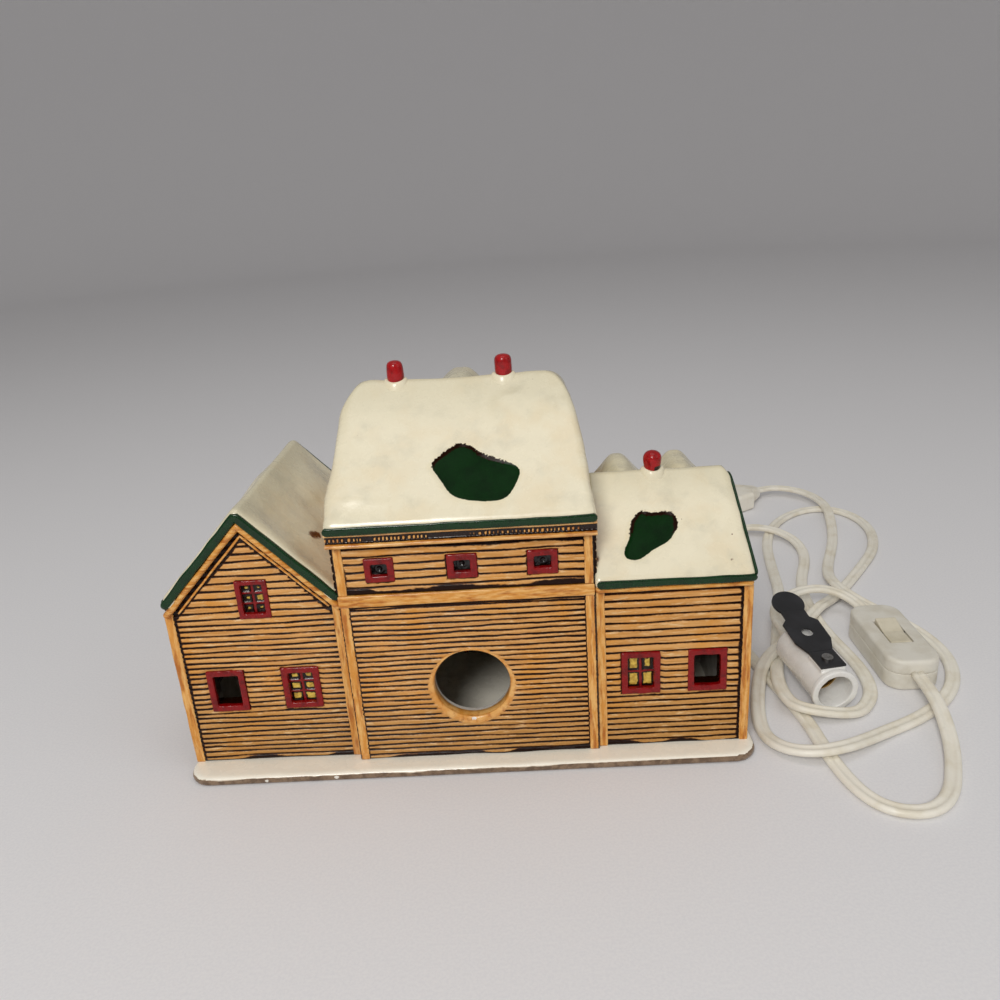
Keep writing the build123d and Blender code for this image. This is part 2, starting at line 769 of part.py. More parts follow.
# Beam between the storeys, eave fascias, and rake boards under the left gables
with BuildPart() as beams:
    add(strip(back_face(back_y), main_x0, main_x1, post_top, upper_post_z, beam_proud))
    add(strip(front_face(main_front_y), -main_x1, -main_x0, post_top, upper_post_z, beam_proud))
save("beams", beams)
with BuildPart() as eave_fascias:
    add(strip(back_face(back_y), main_x0, main_x1, main_post_top, main_top, fascia_proud))
    add(strip(front_face(main_front_y), -main_x1, -main_x0, main_post_top, main_top, fascia_proud))
    wing_fascia_foot = wing_top - wing_fascia_height
    fascia_start = main_x1
    add(strip(back_face(right_back_y), fascia_start, right_x, wing_fascia_foot, wing_top, fascia_proud))
    add(strip(front_face(right_front_y), -right_x, -fascia_start, wing_fascia_foot, wing_top, fascia_proud))
save("eave_fascias", eave_fascias)
with BuildPart() as rake_boards:
    half_rake = left_inner_span / 2
    rake_spring = wing_top + left_inner_edge
    rake_peak = rake_spring + left_inner_rise
    for plane, sign in ((back_face(left_back_y), 1), (front_face(left_front_y), -1)):
        with BuildSketch(plane):
            with BuildLine():
                middle_u = sign * left_mid_x
                Polyline(
                    (middle_u - half_rake, rake_spring - rake_board_height),
                    (middle_u, rake_peak - rake_board_height),
                    (middle_u + half_rake, rake_spring - rake_board_height),
                    (middle_u + half_rake, rake_spring),
                    (middle_u, rake_peak),
                    (middle_u - half_rake, rake_spring),
                    close=True,
                )
            make_face()
        extrude(amount=rake_board_proud)
save("rake_boards", rake_boards)

# Lampholder: placed by the end of its cord, its mouth facing away from the cord
holder_axis = (Vector(lamp_route[0]) - Vector(lamp_route[1])).normalized()
holder_side = Vector(0, 0, 1).cross(holder_axis).normalized()
holder_plane = Plane(lamp_route[0], x_dir=holder_side, z_dir=holder_axis)
bore_foot = holder_length - holder_bore_depth
seat_height = holder_radius + clip_seat_rise
foot_end = holder_length - clip_foot_from_mouth
foot_start = foot_end - clip_foot_length
foot_middle = (foot_start + foot_end) / 2
seat_plane = Plane(
    holder_plane.from_local_coords((0, seat_height, foot_middle)),
    x_dir=holder_side, z_dir=holder_plane.y_dir,
)
with BuildPart() as lampholder_sleeve:
    with BuildSketch(holder_plane):
        Circle(holder_radius)
    extrude(amount=holder_length)
    fillet(lampholder_sleeve.faces().sort_by(Axis(lamp_route[0], holder_axis))[0].edges(), holder_rear_round)
    with BuildSketch(holder_plane.offset(holder_length - holder_rim_length)):
        Circle(holder_rim_radius)
    extrude(amount=holder_rim_length)
    with BuildSketch(seat_plane):
        Rectangle(clip_foot_width, clip_foot_length)
    extrude(amount=-(seat_height - holder_bore_radius))
    with BuildSketch(holder_plane.offset(bore_foot)):
        Circle(holder_bore_radius)
    extrude(amount=holder_bore_depth, mode=Mode.SUBTRACT)
    with BuildSketch(seat_plane):
        Circle(rivet_shank_radius)
    extrude(amount=-rivet_depth, mode=Mode.SUBTRACT)
save("lampholder_sleeve", lampholder_sleeve)

# Inside the lampholder: insulating disc, centre contact and screw shell
contact_foot = bore_foot + insulator_thickness
with BuildPart() as contact_insulator:
    with BuildSketch(holder_plane.offset(bore_foot)):
        Circle(holder_bore_radius)
    extrude(amount=insulator_thickness)
save("contact_insulator", contact_insulator)
with BuildPart() as centre_contact:
    with BuildSketch(holder_plane.offset(contact_foot)):
        Circle(contact_radius)
    extrude(amount=contact_height)
save("centre_contact", centre_contact)
with BuildPart() as screw_shell:
    with BuildSketch(holder_plane.offset(contact_foot)):
        Circle(holder_bore_radius)
        Circle(holder_bore_radius - shell_wall, mode=Mode.SUBTRACT)
    extrude(amount=shell_length)
save("screw_shell", screw_shell)

# Spring clip: foot and rivet on the sleeve, arm that flares away to a thumb tab
with BuildPart() as clip_foot:
    with BuildSketch(seat_plane):
        Rectangle(clip_foot_width, clip_foot_length)
        Circle(rivet_shank_radius, mode=Mode.SUBTRACT)
    extrude(amount=clip_thickness)
save("clip_foot", clip_foot)
with BuildPart() as clip_rivet:
    with BuildSketch(seat_plane.offset(-rivet_depth)):
        Circle(rivet_shank_radius)
    extrude(amount=rivet_depth + clip_thickness)
    with BuildSketch(seat_plane.offset(clip_thickness)):
        Circle(rivet_head_radius)
    extrude(amount=rivet_head_height)
save("clip_rivet", clip_rivet)


def clip_plane(origin, rise):
    """Plane of a stretch of the clip that rises from the sleeve towards the cord, by an angle."""
    normal = holder_plane.y_dir * cos(radians(rise)) + holder_axis * sin(radians(rise))
    return Plane(origin, x_dir=holder_side, z_dir=normal)


hinge_point = holder_plane.from_local_coords((0, seat_height + clip_thickness / 2, foot_start - clip_gap))
arm_plane = clip_plane(hinge_point, clip_flare)
neck_end = clip_body_length + clip_neck_length
tab_plane = clip_plane(arm_plane.from_local_coords((0, neck_end, 0)), clip_flare + clip_tab_tilt)
half_foot = clip_foot_width / 2
half_body = clip_body_width / 2
half_neck = clip_neck_width / 2
tab_reach = sqrt(clip_tab_radius**2 - half_neck**2)
with BuildPart() as clip_arm:
    with BuildSketch(arm_plane.offset(-clip_thickness / 2)):
        with BuildLine():
            Polyline(
                (-half_foot, 0), (half_foot, 0), (half_body, clip_taper_length),
                (half_body, clip_body_length), (half_neck, clip_body_length + half_body - half_neck),
                (half_neck, neck_end), (-half_neck, neck_end),
                (-half_neck, clip_body_length + half_body - half_neck),
                (-half_body, clip_body_length), (-half_body, clip_taper_length), close=True,
            )
        make_face()
        with Locations((0, clip_body_length - clip_taper_length)):
            Circle(clip_hole_radius, mode=Mode.SUBTRACT)
    extrude(amount=clip_thickness)
    with BuildSketch(tab_plane.offset(-clip_thickness / 2)):
        with Locations((0, tab_reach)):
            Circle(clip_tab_radius)
    extrude(amount=clip_thickness)
save("clip_arm", clip_arm)

# In-line switch: two shells and a rocker on a pin
switch_plane = Plane((switch_x, switch_y, 0))
rocker_space_length = rocker_length + 2 * rocker_clearance
rocker_space_width = rocker_width + 2 * rocker_clearance
switch_top = switch_base_height + switch_cover_height
pin_z = switch_top - switch_plate / 2
with BuildPart() as switch_base:
    with BuildSketch(switch_plane):
        RectangleRounded(switch_width, switch_length, switch_corner_radius)
    extrude(amount=switch_base_height)
    fillet(switch_base.edges().group_by(Axis.Z)[0], switch_round)
    with BuildSketch(switch_plane.offset(switch_wall)):
        RectangleRounded(
            switch_width - 2 * switch_wall, switch_length - 2 * switch_wall, switch_corner_radius - switch_wall
        )
    extrude(amount=switch_base_height, mode=Mode.SUBTRACT)
save("switch_base", switch_base)
with BuildPart() as switch_cover:
    with BuildSketch(switch_plane.offset(switch_base_height)):
        RectangleRounded(switch_width, switch_length, switch_corner_radius)
    extrude(amount=switch_cover_height)
    fillet(switch_cover.edges().group_by(Axis.Z)[-1], switch_round)
    with BuildSketch(switch_plane.offset(switch_base_height)):
        RectangleRounded(
            switch_width - 2 * switch_wall, switch_length - 2 * switch_wall, switch_corner_radius - switch_wall
        )
    extrude(amount=switch_cover_height - switch_plate, mode=Mode.SUBTRACT)
    with BuildSketch(switch_plane.offset(switch_base_height)):
        Rectangle(rocker_space_width, rocker_space_length)
    extrude(amount=switch_cover_height, mode=Mode.SUBTRACT)
    with BuildSketch(Plane((switch_x, switch_y, pin_z), x_dir=(0, 1, 0), z_dir=(1, 0, 0))):
        Circle(pin_radius)
    extrude(amount=rocker_space_width / 2 + pin_grip, both=True, mode=Mode.SUBTRACT)
save("switch_cover", switch_cover)
with BuildPart() as rocker_pin:
    with BuildSketch(Plane((switch_x, switch_y, pin_z), x_dir=(0, 1, 0), z_dir=(1, 0, 0))):
        Circle(pin_radius)
    extrude(amount=rocker_space_width / 2 + pin_grip, both=True)
save("rocker_pin", rocker_pin)
rocker_plane = Plane((switch_x, switch_y, pin_z), x_dir=(0, 1, 0), z_dir=(1, 0, 0)).rotated((rocker_tilt, 0, 0))
half_rocker = rocker_length / 2
half_keel = half_rocker * rocker_keel_share
with BuildPart() as switch_rocker:
    with BuildSketch(rocker_plane):
        with BuildLine():
            Polyline(
                (-half_rocker, rocker_rise), (0, rocker_dip), (half_rocker, rocker_rise),
                (half_rocker, -rocker_dip), (half_keel, -rocker_depth), (-half_keel, -rocker_depth),
                (-half_rocker, -rocker_dip), close=True,
            )
        make_face()
        Circle(pin_radius + pin_clearance, mode=Mode.SUBTRACT)
    extrude(amount=rocker_width / 2, both=True)
save("switch_rocker", switch_rocker)


def cord_tube(name, route):
    """A tube along straight runs joined by arcs as large as the runs allow."""
    points = [Vector(point) for point in route]
    radii = []
    for before, corner, after in zip(points, points[1:], points[2:]):
        run_in = corner - before
        run_out = after - corner
        half_turn = radians(run_in.get_angle(run_out)) / 2
        radii.append(arc_share * min(run_in.length, run_out.length) / tan(half_turn))
    with BuildPart() as tube:
        with BuildLine() as path:
            FilletPolyline(*points, radius=radii)
        with BuildSketch(Plane(points[0], z_dir=points[1] - points[0])):
            Circle(cord_diameter / 2)
        sweep(path=path.wires()[0])
    length = path.wires()[0].length
    section = pi * cord_diameter**2 / 4
    print(name, "length", round(length, 1), "volume share", round(tube.part.volume / (section * length), 5))
    print(name, "radii", [round(radius, 1) for radius in radii])
    return tube


lamp_cord = cord_tube("lamp_cord", lamp_route)
save("lamp_cord", lamp_cord)
main_cord = cord_tube("main_cord", main_route)
save("main_cord", main_cord)

# Plug at the end of the cord, with its two blades
plug_axis = (Vector(main_route[-1]) - Vector(main_route[-2])).normalized()
plug_side = plug_axis.cross(Vector(0, 0, 1)).normalized()
plug_plane = Plane(main_route[-1], x_dir=plug_side, z_dir=plug_axis)
plug_body_start = plug_neck_length + plug_shoulder_length
plug_length = plug_body_start + plug_face_length
plug_sections = [
    (0, plug_tail_width, plug_tail_height),
    (plug_neck_length, plug_neck_width, plug_height),
    (plug_body_start, plug_width, plug_height),
    (plug_length, plug_width, plug_height),
]
with BuildPart() as plug_body:
    for distance, width, height in plug_sections:
        with BuildSketch(plug_plane.offset(distance)):
            RectangleRounded(width, height, plug_round)
    loft(ruled=True)
save("plug_body", plug_body)
with BuildPart() as plug_blades:
    with BuildSketch(plug_plane.offset(plug_length)):
        with GridLocations(blade_spacing, 0, 2, 1):
            Rectangle(blade_thickness, blade_height)
    extrude(amount=blade_length)
save("plug_blades", plug_blades)
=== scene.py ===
import math

import bmesh
import bpy
import numpy as np
from mathutils import Matrix, Vector


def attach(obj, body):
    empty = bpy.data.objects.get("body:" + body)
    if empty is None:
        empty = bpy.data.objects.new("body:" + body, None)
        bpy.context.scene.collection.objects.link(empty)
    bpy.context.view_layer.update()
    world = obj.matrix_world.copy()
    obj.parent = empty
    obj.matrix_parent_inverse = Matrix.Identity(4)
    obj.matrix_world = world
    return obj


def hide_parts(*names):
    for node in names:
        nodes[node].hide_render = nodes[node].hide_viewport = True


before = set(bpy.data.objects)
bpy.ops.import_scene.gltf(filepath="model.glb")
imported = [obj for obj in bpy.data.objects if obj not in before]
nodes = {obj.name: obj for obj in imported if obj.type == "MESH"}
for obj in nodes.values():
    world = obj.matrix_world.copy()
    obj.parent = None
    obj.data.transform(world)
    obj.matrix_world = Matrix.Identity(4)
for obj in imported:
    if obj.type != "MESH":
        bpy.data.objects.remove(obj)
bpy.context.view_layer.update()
scene = bpy.context.scene
MM = 0.001

# Sizes of the CAD model that the looks follow, in mm
FLOOR_Z, WING_TOP, MAIN_TOP = 3.2, 68.2, 93.5
LEFT_X, MAIN_X0, MAIN_X1, RIGHT_X = -101.0, -40.0, 47.0, 99.5
BACK_Y, LEFT_BACK_Y, RIGHT_BACK_Y = -40.3, -37.3, -38.8
MAIN_FRONT_Y, LEFT_FRONT_Y, RIGHT_FRONT_Y = 35.7, 40.2, 18.2
MAIN_MID_Y, LEFT_MID_X, RIGHT_MID_Y = -2.3, -70.5, -10.3
POST_TOP, UPPER_FOOT, MAIN_POST_TOP = 65.6, 69.75, 89.0
ROOF_EDGE, POST_WIDTH = 3.2, 3.3
LEFT_RISE, LEFT_HALF, LEFT_STEEPER = 32.2, 30.5, 32.2 / 30.0
MAIN_EAVE_Z, WING_EAVE_Z, MAIN_RIDGE_Z, RIGHT_RIDGE_Z = 96.7, 71.4, 134.2, 98.8
HOLE_X, HOLE_Z, HOLE_R = 2.978, 32.7, 13.5
LOW_Z, GABLE_Z, SMALL_Z = 33.0, 68.9, 78.7
LOW_W, LOW_H, LOW_BORDER = 13.4, 16.6, 2.1
GABLE_W, GABLE_H, GABLE_BORDER = 11.0, 14.4, 1.6
SMALL_W, SMALL_H = 10.0, 8.6
LEFT_WINDOWS = (-85.2, -58.3)
GABLE_WINDOW_X = -70.2
SMALL_WINDOWS = (-24.9, 2.98, 29.9)
RIGHT_WINDOWS = (62.4, 85.6)
FRONT_WINDOWS = (-22.6, 28.73)
LEFT_SIDE_WINDOWS = (-16.375, 19.275)
RIGHT_SIDE_WINDOWS = (-23.41, 2.81)
DOOR_X, DOOR_W, DOOR_H = 2.978, 18.0, 34.0
GABLE_X, GABLE_FRONT_Y, GABLE_PANEL_Z = 2.63, 37.7, 106.4
DORMERS_X, DORMER_FRONT_Y, DORMER_WINDOW_Z = (61.385, 83.7), 20.2, 79.6
BACK, FRONT, RIGHT, LEFT, UP = (0, -1, 0), (0, 1, 0), (1, 0, 0), (-1, 0, 0), (0, 0, 1)

# Camera at the photograph's viewing angle: place in mm, lens in mm, then yaw, pitch and roll in degrees
CAMERA_PLACE, CAMERA_LENS, CAMERA_TURN = (26.56, -297.01, 196.63), 30.42, (-2.09, 20.40, -3.99)
camera_data = bpy.data.cameras.new("photo_camera")
camera = bpy.data.objects.new("photo_camera", camera_data)
scene.collection.objects.link(camera)
camera_data.sensor_width = 36.0
camera_data.lens = CAMERA_LENS
camera_data.clip_start = 0.01
yaw, pitch, roll = (math.radians(a) for a in CAMERA_TURN)
forward = Vector((math.sin(yaw) * math.cos(pitch), math.cos(yaw) * math.cos(pitch), -math.sin(pitch)))
level_right = forward.cross(Vector(UP)).normalized()
level_up = level_right.cross(forward)
cam_right = math.cos(roll) * level_right + math.sin(roll) * level_up
cam_up = math.cos(roll) * level_up - math.sin(roll) * level_right
turn = Matrix((cam_right, cam_up, -forward)).transposed().to_4x4()
camera.matrix_world = Matrix.Translation(Vector(CAMERA_PLACE) * MM) @ turn
scene.camera = camera
scene.view_settings.view_transform = "Standard"


# Repeatable smooth noise
def lattice(ix, iy, iz, seed):
    """A number from -1 to 1 for each lattice corner."""
    h = (ix * 374761393 + iy * 668265263 + iz * 2147483647 + seed * 1274126177) & 0xFFFFFFFF
    h = ((h ^ (h >> 13)) * 1103515245) & 0xFFFFFFFF
    h = h ^ (h >> 16)
    return (h & 0xFFFF) / 32767.5 - 1.0


def soft_noise(points, size, seed):
    """Smooth noise from -1 to 1 at points in mm, with lumps about size mm across."""
    p = np.asarray(points, float) / size
    low = np.floor(p).astype(np.int64)
    f = p - low
    f = f * f * f * (f * (f * 6 - 15) + 10)
    total = np.zeros(p.shape[:-1])
    for dx in (0, 1):
        for dy in (0, 1):
            for dz in (0, 1):
                weight = np.abs(1 - dx - f[..., 0]) * np.abs(1 - dy - f[..., 1]) * np.abs(1 - dz - f[..., 2])
                total += weight * lattice(low[..., 0] + dx, low[..., 1] + dy, low[..., 2] + dz, seed)
    return total


def smooth_step(low, high, x):
    t = np.clip((x - low) / (high - low), 0, 1)
    return t * t * (3 - 2 * t)


# Node-built materials
def srgb(r, g, b):
    """Screen colour values, 0 to 255, as a linear colour."""
    shares = (c / 255 for c in (r, g, b))
    return (*(c / 12.92 if c <= 0.04045 else ((c + 0.055) / 1.055) ** 2.4 for c in shares), 1.0)


class Glaze:
    """A material with short calls for the nodes that it is made of."""

    def __init__(self, name, colour=None, **inputs):
        self.material = bpy.data.materials.new(name)
        self.material.use_nodes = True
        self.tree = self.material.node_tree
        self.tree.nodes.clear()
        out = self.node("ShaderNodeOutputMaterial")
        self.shader = self.node("ShaderNodeBsdfPrincipled")
        self.feed(out.inputs[0], self.shader.outputs[0])
        scale = self.node("ShaderNodeVectorMath")
        scale.operation = "SCALE"
        scale.inputs["Scale"].default_value = 1 / MM
        self.feed(scale.inputs[0], self.node("ShaderNodeTexCoord").outputs["Object"])
        self.place = scale.outputs[0]
        self.colour = colour
        for key, value in inputs.items():
            self.shader.inputs[key.replace("_", " ")].default_value = value

    def node(self, kind):
        return self.tree.nodes.new(kind)

    def feed(self, socket, value):
        if isinstance(value, bpy.types.NodeSocket):
            self.tree.links.new(value, socket)
        else:
            socket.default_value = value

    def set(self, name, value):
        self.feed(self.shader.inputs[name], value)

    def texture(self, kind, scale, shift):
        """A texture node whose place is scaled and shifted."""
        mapping, made = self.node("ShaderNodeMapping"), self.node(kind)
        mapping.inputs["Scale"].default_value = scale
        mapping.inputs["Location"].default_value = shift
        made.inputs["Scale"].default_value = 1.0
        self.feed(mapping.inputs["Vector"], self.place)
        self.feed(made.inputs["Vector"], mapping.outputs[0])
        return made

    def noise(self, size, detail, rough=0.55, stretch=(1, 1, 1), shift=0.0):
        """Noise with features about size mm across, drawn out by stretch."""
        scale = [1 / (size * s) for s in stretch]
        made = self.texture("ShaderNodeTexNoise", scale, (shift, shift * 0.7, shift * 1.3))
        made.inputs["Detail"].default_value = detail
        made.inputs["Roughness"].default_value = rough
        return made.outputs["Fac"]

    def cells(self, size, shift):
        """Distance to the nearest of scattered points about size mm apart, in shares of size."""
        return self.texture("ShaderNodeTexVoronoi", [1 / size] * 3, [shift] * 3).outputs["Distance"]

    def along(self, axis):
        """Place along an axis, in mm."""
        split = self.node("ShaderNodeSeparateXYZ")
        self.feed(split.inputs[0], self.place)
        return split.outputs[axis]

    def attribute(self, name):
        node = self.node("ShaderNodeAttribute")
        node.attribute_name = name
        return node.outputs["Fac"]

    def math(self, operation, a, b=0.0):
        node = self.node("ShaderNodeMath")
        node.operation = operation
        self.feed(node.inputs[0], a)
        self.feed(node.inputs[1], b)
        return node.outputs[0]

    def step(self, value, low, high, start=0.0, end=1.0):
        """A soft step from start to end as value goes from low to high."""
        node = self.node("ShaderNodeMapRange")
        node.interpolation_type = "SMOOTHSTEP"
        limits = {"Value": value, "From Min": low, "From Max": high, "To Min": start, "To Max": end}
        for key, number in limits.items():
            self.feed(node.inputs[key], number)
        return node.outputs[0]

    def mix(self, share, a, b):
        node = self.node("ShaderNodeMix")
        node.data_type = "RGBA"
        self.feed(node.inputs[0], share)
        self.feed(node.inputs[6], a)
        self.feed(node.inputs[7], b)
        return node.outputs[2]

    def uneven(self, value, noise, amount):
        """A value with noise about zero added, from end to end of the given amount."""
        return self.math("ADD", value, self.math("MULTIPLY", self.math("SUBTRACT", noise, 0.5), amount))

    def tones(self, size, detail, low, high, a, b, shift=0.0):
        """Two colours in clouds about size mm across."""
        return self.mix(self.step(self.noise(size, detail, shift=shift), low, high), a, b)

    def over(self, share, colour):
        """Lay a colour over the material's own."""
        self.colour = self.mix(share, self.colour, colour)
        self.set("Base Color", self.colour)

    def layer(self, value, low, high, colour, most=1.0):
        """Lay a colour over the material's own, by nothing at low and by most at high."""
        self.over(self.step(value, low, high, 0.0, most), colour)

    def gloss(self, size, detail, shift, low, high, stretch=(1, 1, 1)):
        """Roughness from low to high in clouds about size mm across."""
        cloud = self.noise(size, detail, stretch=stretch, shift=shift)
        self.set("Roughness", self.step(cloud, 0.3, 0.7, low, high))

    def bump(self, height, distance, strength=0.6):
        """Small relief, the last step; distance is the height in mm that a value of 1 stands for."""
        node = self.node("ShaderNodeBump")
        node.inputs["Strength"].default_value = strength
        node.inputs["Distance"].default_value = distance * MM
        self.feed(node.inputs["Height"], height)
        self.set("Normal", node.outputs[0])
        return self.material

    def pointiness(self):
        return self.node("ShaderNodeNewGeometry").outputs["Pointiness"]


CREAM, CREAM_WARM, CREAM_GREY = srgb(236, 227, 199), srgb(231, 215, 180), srgb(214, 207, 182)
CREAM_RIDGE_SHADE, SCUFF, BASE_WHITE = srgb(198, 190, 158), srgb(168, 156, 128), srgb(255, 250, 236)
BASE_BROWN, CLAY, CLAY_DARK = srgb(182, 152, 112), srgb(140, 116, 92), srgb(104, 82, 62)
BASE_CHIP, LIP_CHIP, PANE_DARK = srgb(240, 236, 226), srgb(238, 230, 222), srgb(30, 15, 10)
GREEN, GREEN_DEEP, GREEN_LIGHT = srgb(6, 50, 16), srgb(4, 36, 11), srgb(18, 76, 36)
PATCH, PATCH_DEEP = srgb(7, 42, 10), srgb(5, 33, 7)
STAIN, STAIN_WARM = srgb(30, 9, 1), srgb(98, 50, 14)
TAN, TAN_DARK, TAN_PALE = srgb(223, 167, 101), srgb(190, 130, 64), srgb(240, 203, 150)
OLIVE_SHADE_AND_WASH = srgb(176, 130, 70)
OCHRE, OCHRE_DARK, OCHRE_PALE = srgb(218, 148, 62), srgb(176, 98, 28), srgb(238, 184, 108)
RED, RED_DARK, RED_LIGHT = srgb(138, 7, 9), srgb(94, 4, 6), srgb(164, 26, 22)
YELLOW, YELLOW_DARK = srgb(228, 194, 84), srgb(178, 140, 50)
BISQUE, BISQUE_DARK = srgb(206, 202, 194), srgb(178, 172, 162)
SNOW_COAT = {"Coat_Weight": 0.25, "Coat_Roughness": 0.12}


def cream_glaze(name, **inputs):
    """Snow glaze with warm and grey clouds, specks and scuffs."""
    g = Glaze(name, CREAM, **inputs)
    g.layer(g.noise(15, 3), 0.44, 0.7, CREAM_WARM, 0.6)
    g.layer(g.noise(8, 4, shift=7.0), 0.48, 0.74, CREAM_GREY, 0.6)
    speck = g.step(g.cells(7.0, 3.0), 0.026, 0.05, 1.0, 0.0)
    g.over(g.math("MULTIPLY", speck, g.step(g.noise(14, 1, shift=2.0), 0.46, 0.58)), STAIN_WARM)
    scuff = g.step(g.noise(1.1, 4, 0.6, shift=13.0), 0.66, 0.78)
    g.over(g.math("MULTIPLY", scuff, g.step(g.noise(20, 2, shift=5.0), 0.52, 0.64, 0.0, 0.25)), SCUFF)
    g.gloss(5, 3, 11.0, 0.2, 0.34)
    return g


def snow_material():
    g = cream_glaze("snow_glaze", **SNOW_COAT)
    return g.bump(g.noise(3.2, 3), 0.2)


def roof_material(name, **inputs):
    """Snow glaze with bare green roof patches, each with a ragged brown upper rim."""
    g = cream_glaze(name, **inputs)
    # Partly painted shade: the snow gets duller towards the ridge, where the light falls off
    g.layer(g.attribute("ridge"), 0.25, 1.0, CREAM_RIDGE_SHADE, 0.45)
    ragged = g.noise(0.9, 2, shift=5.0)
    patch = g.math("ADD", g.attribute("patch"), g.math("MULTIPLY", ragged, 0.5))
    g.over(g.step(patch, 0.2, 0.42, 1.0, 0.0), g.tones(6, 3, 0.35, 0.7, PATCH, PATCH_DEEP))
    g.layer(g.uneven(g.attribute("rim"), ragged, 1.3), 0.42, 0.62, STAIN)
    g.layer(g.uneven(g.attribute("smear"), g.noise(1.4, 4), 1.0), 0.45, 0.85, STAIN_WARM)
    return g.bump(g.noise(3.2, 3), 0.2)


def base_material():
    """Snow glaze over a bare clay edge, with white chips."""
    g = cream_glaze("base_glaze", **SNOW_COAT)
    g.over(0.85, BASE_WHITE)
    level = g.uneven(g.attribute("level"), g.noise(6, 3), 1.3)
    g.over(g.step(level, 2.4, 3.3, 0.4, 0.0), BASE_BROWN)
    g.over(g.step(level, 2.35, 2.65, 1.0, 0.0), g.tones(2.5, 4, 0.35, 0.65, CLAY, CLAY_DARK, 4.0))
    g.layer(g.attribute("chip"), 0.45, 0.6, BASE_CHIP)
    return g.bump(g.noise(2.0, 4), 0.15, 0.5)


def siding_material():
    """Tan boards with dark stain left in the grooves, and stain with painted shade in the corners and under
    the trim.
    """
    g = Glaze("clapboard_glaze", TAN, Coat_Weight=0.03, Coat_Roughness=0.14, Specular_IOR_Level=0.15)
    g.layer(g.noise(5, 4, stretch=(3.0, 3.0, 0.16)), 0.38, 0.7, TAN_DARK, 0.8)
    g.layer(g.noise(20, 3, shift=3.0), 0.46, 0.68, OCHRE, 0.75)
    # Olive towards the foot of the walls: partly painted shade where the light falls off low down, partly a
    # darker wash of grime
    low = g.math("ADD", g.along("Z"), g.math("MULTIPLY", g.noise(16, 3, shift=12.0), 24.0))
    g.over(g.step(low, 18.0, 50.0, 0.6, 0.0), OLIVE_SHADE_AND_WASH)
    g.layer(g.noise(1.6, 4, stretch=(3.4, 3.4, 0.5), shift=8.0), 0.54, 0.7, TAN_PALE, 0.75)
    fine = g.noise(0.75, 4, 0.65, stretch=(1.3, 1.3, 0.6), shift=1.0)
    groove = g.uneven(g.attribute("groove"), fine, 0.7)
    g.layer(groove, 0.08, 0.48, STAIN_WARM, 0.85)
    g.layer(groove, 0.4, 0.6, STAIN)
    ragged = g.noise(1.7, 5, 0.65, stretch=(1.6, 1.6, 0.8), shift=9.0)
    # Painted shade with grime: darker beside and under the trim and round the openings
    shade_and_grime_blot = g.uneven(g.attribute("shade_and_grime"), ragged, 1.0)
    g.layer(shade_and_grime_blot, 0.36, 0.6, STAIN_WARM, 0.7)
    g.layer(shade_and_grime_blot, 0.48, 0.7, STAIN)
    g.gloss(3, 3, 6.0, 0.24, 0.42)
    return g.bump(g.noise(0.8, 3, stretch=(2, 2, 0.6)), 0.09)


def trim_material(name, stretch):
    """Orange-tan posts and beams, brushed along and darker in their creases."""
    g = Glaze(name, OCHRE_PALE, Coat_Weight=0.15, Coat_Roughness=0.12, Specular_IOR_Level=0.35)
    g.layer(g.noise(1.5, 4, stretch=stretch), 0.36, 0.6, OCHRE)
    g.layer(g.noise(2.0, 4, stretch=stretch, shift=4.0), 0.48, 0.68, OCHRE_DARK, 0.85)
    g.layer(g.pointiness(), 0.52, 0.6, TAN_PALE, 0.5)
    stain = g.uneven(g.attribute("stain"), g.noise(1.2, 3), 0.8)
    g.layer(stain, 0.3, 0.5, STAIN_WARM, 0.7)
    g.layer(stain, 0.45, 0.65, STAIN)
    g.gloss(3, 3, 6.0, 0.2, 0.36)
    return g.bump(g.noise(0.9, 3, stretch=stretch), 0.1, 0.5)


def painted_material(name, base, dark, light):
    """A thick glossy paint with brush marks, worn on the edges, with painted shade black in the depths."""
    g = Glaze(name, base, Coat_Weight=0.22, Coat_Roughness=0.08, Specular_IOR_Level=0.28)
    g.layer(g.noise(2.6, 4), 0.4, 0.7, dark, 0.8)
    g.layer(g.pointiness(), 0.53, 0.62, light, 0.5)
    # Painted shade: black where the paint lies deep in an opening
    g.layer(g.attribute("painted_shade"), 0.3, 0.75, STAIN)
    g.gloss(2, 3, 6.0, 0.16, 0.3)
    return g.bump(g.noise(1.3, 3), 0.1)


def sash_material():
    """Yellow daubs of paint on a dark ground between red glazing bars."""
    g = Glaze(
        "pane_glaze", PANE_DARK, Coat_Weight=0.15, Coat_Roughness=0.1, Specular_IOR_Level=0.3, Roughness=0.24)
    fine = g.noise(0.8, 3)
    yellow = g.tones(1.6, 3, 0.35, 0.68, YELLOW, YELLOW_DARK, 2.0)
    g.layer(g.uneven(g.attribute("daub"), fine, 0.9), 0.12, 0.42, yellow)
    red = g.tones(1.5, 3, 0.4, 0.7, RED, RED_DARK, 5.0)
    g.layer(g.uneven(g.attribute("bar"), fine, 0.45), 0.35, 0.6, red)
    return g.bump(g.noise(0.7, 3), 0.08)


def shade_sheet_material():
    """Black glaze on the sheets in the small open windows: painted shade of their dark insides."""
    g = Glaze("shade_sheet_glaze", srgb(9, 7, 8), Coat_Weight=0.2, Coat_Roughness=0.06, Specular_IOR_Level=0.4)
    g.layer(g.noise(1.2, 3), 0.4, 0.7, srgb(24, 15, 13))
    g.gloss(1.0, 3, 2.0, 0.12, 0.3)
    return g.bump(g.noise(0.9, 3), 0.15)


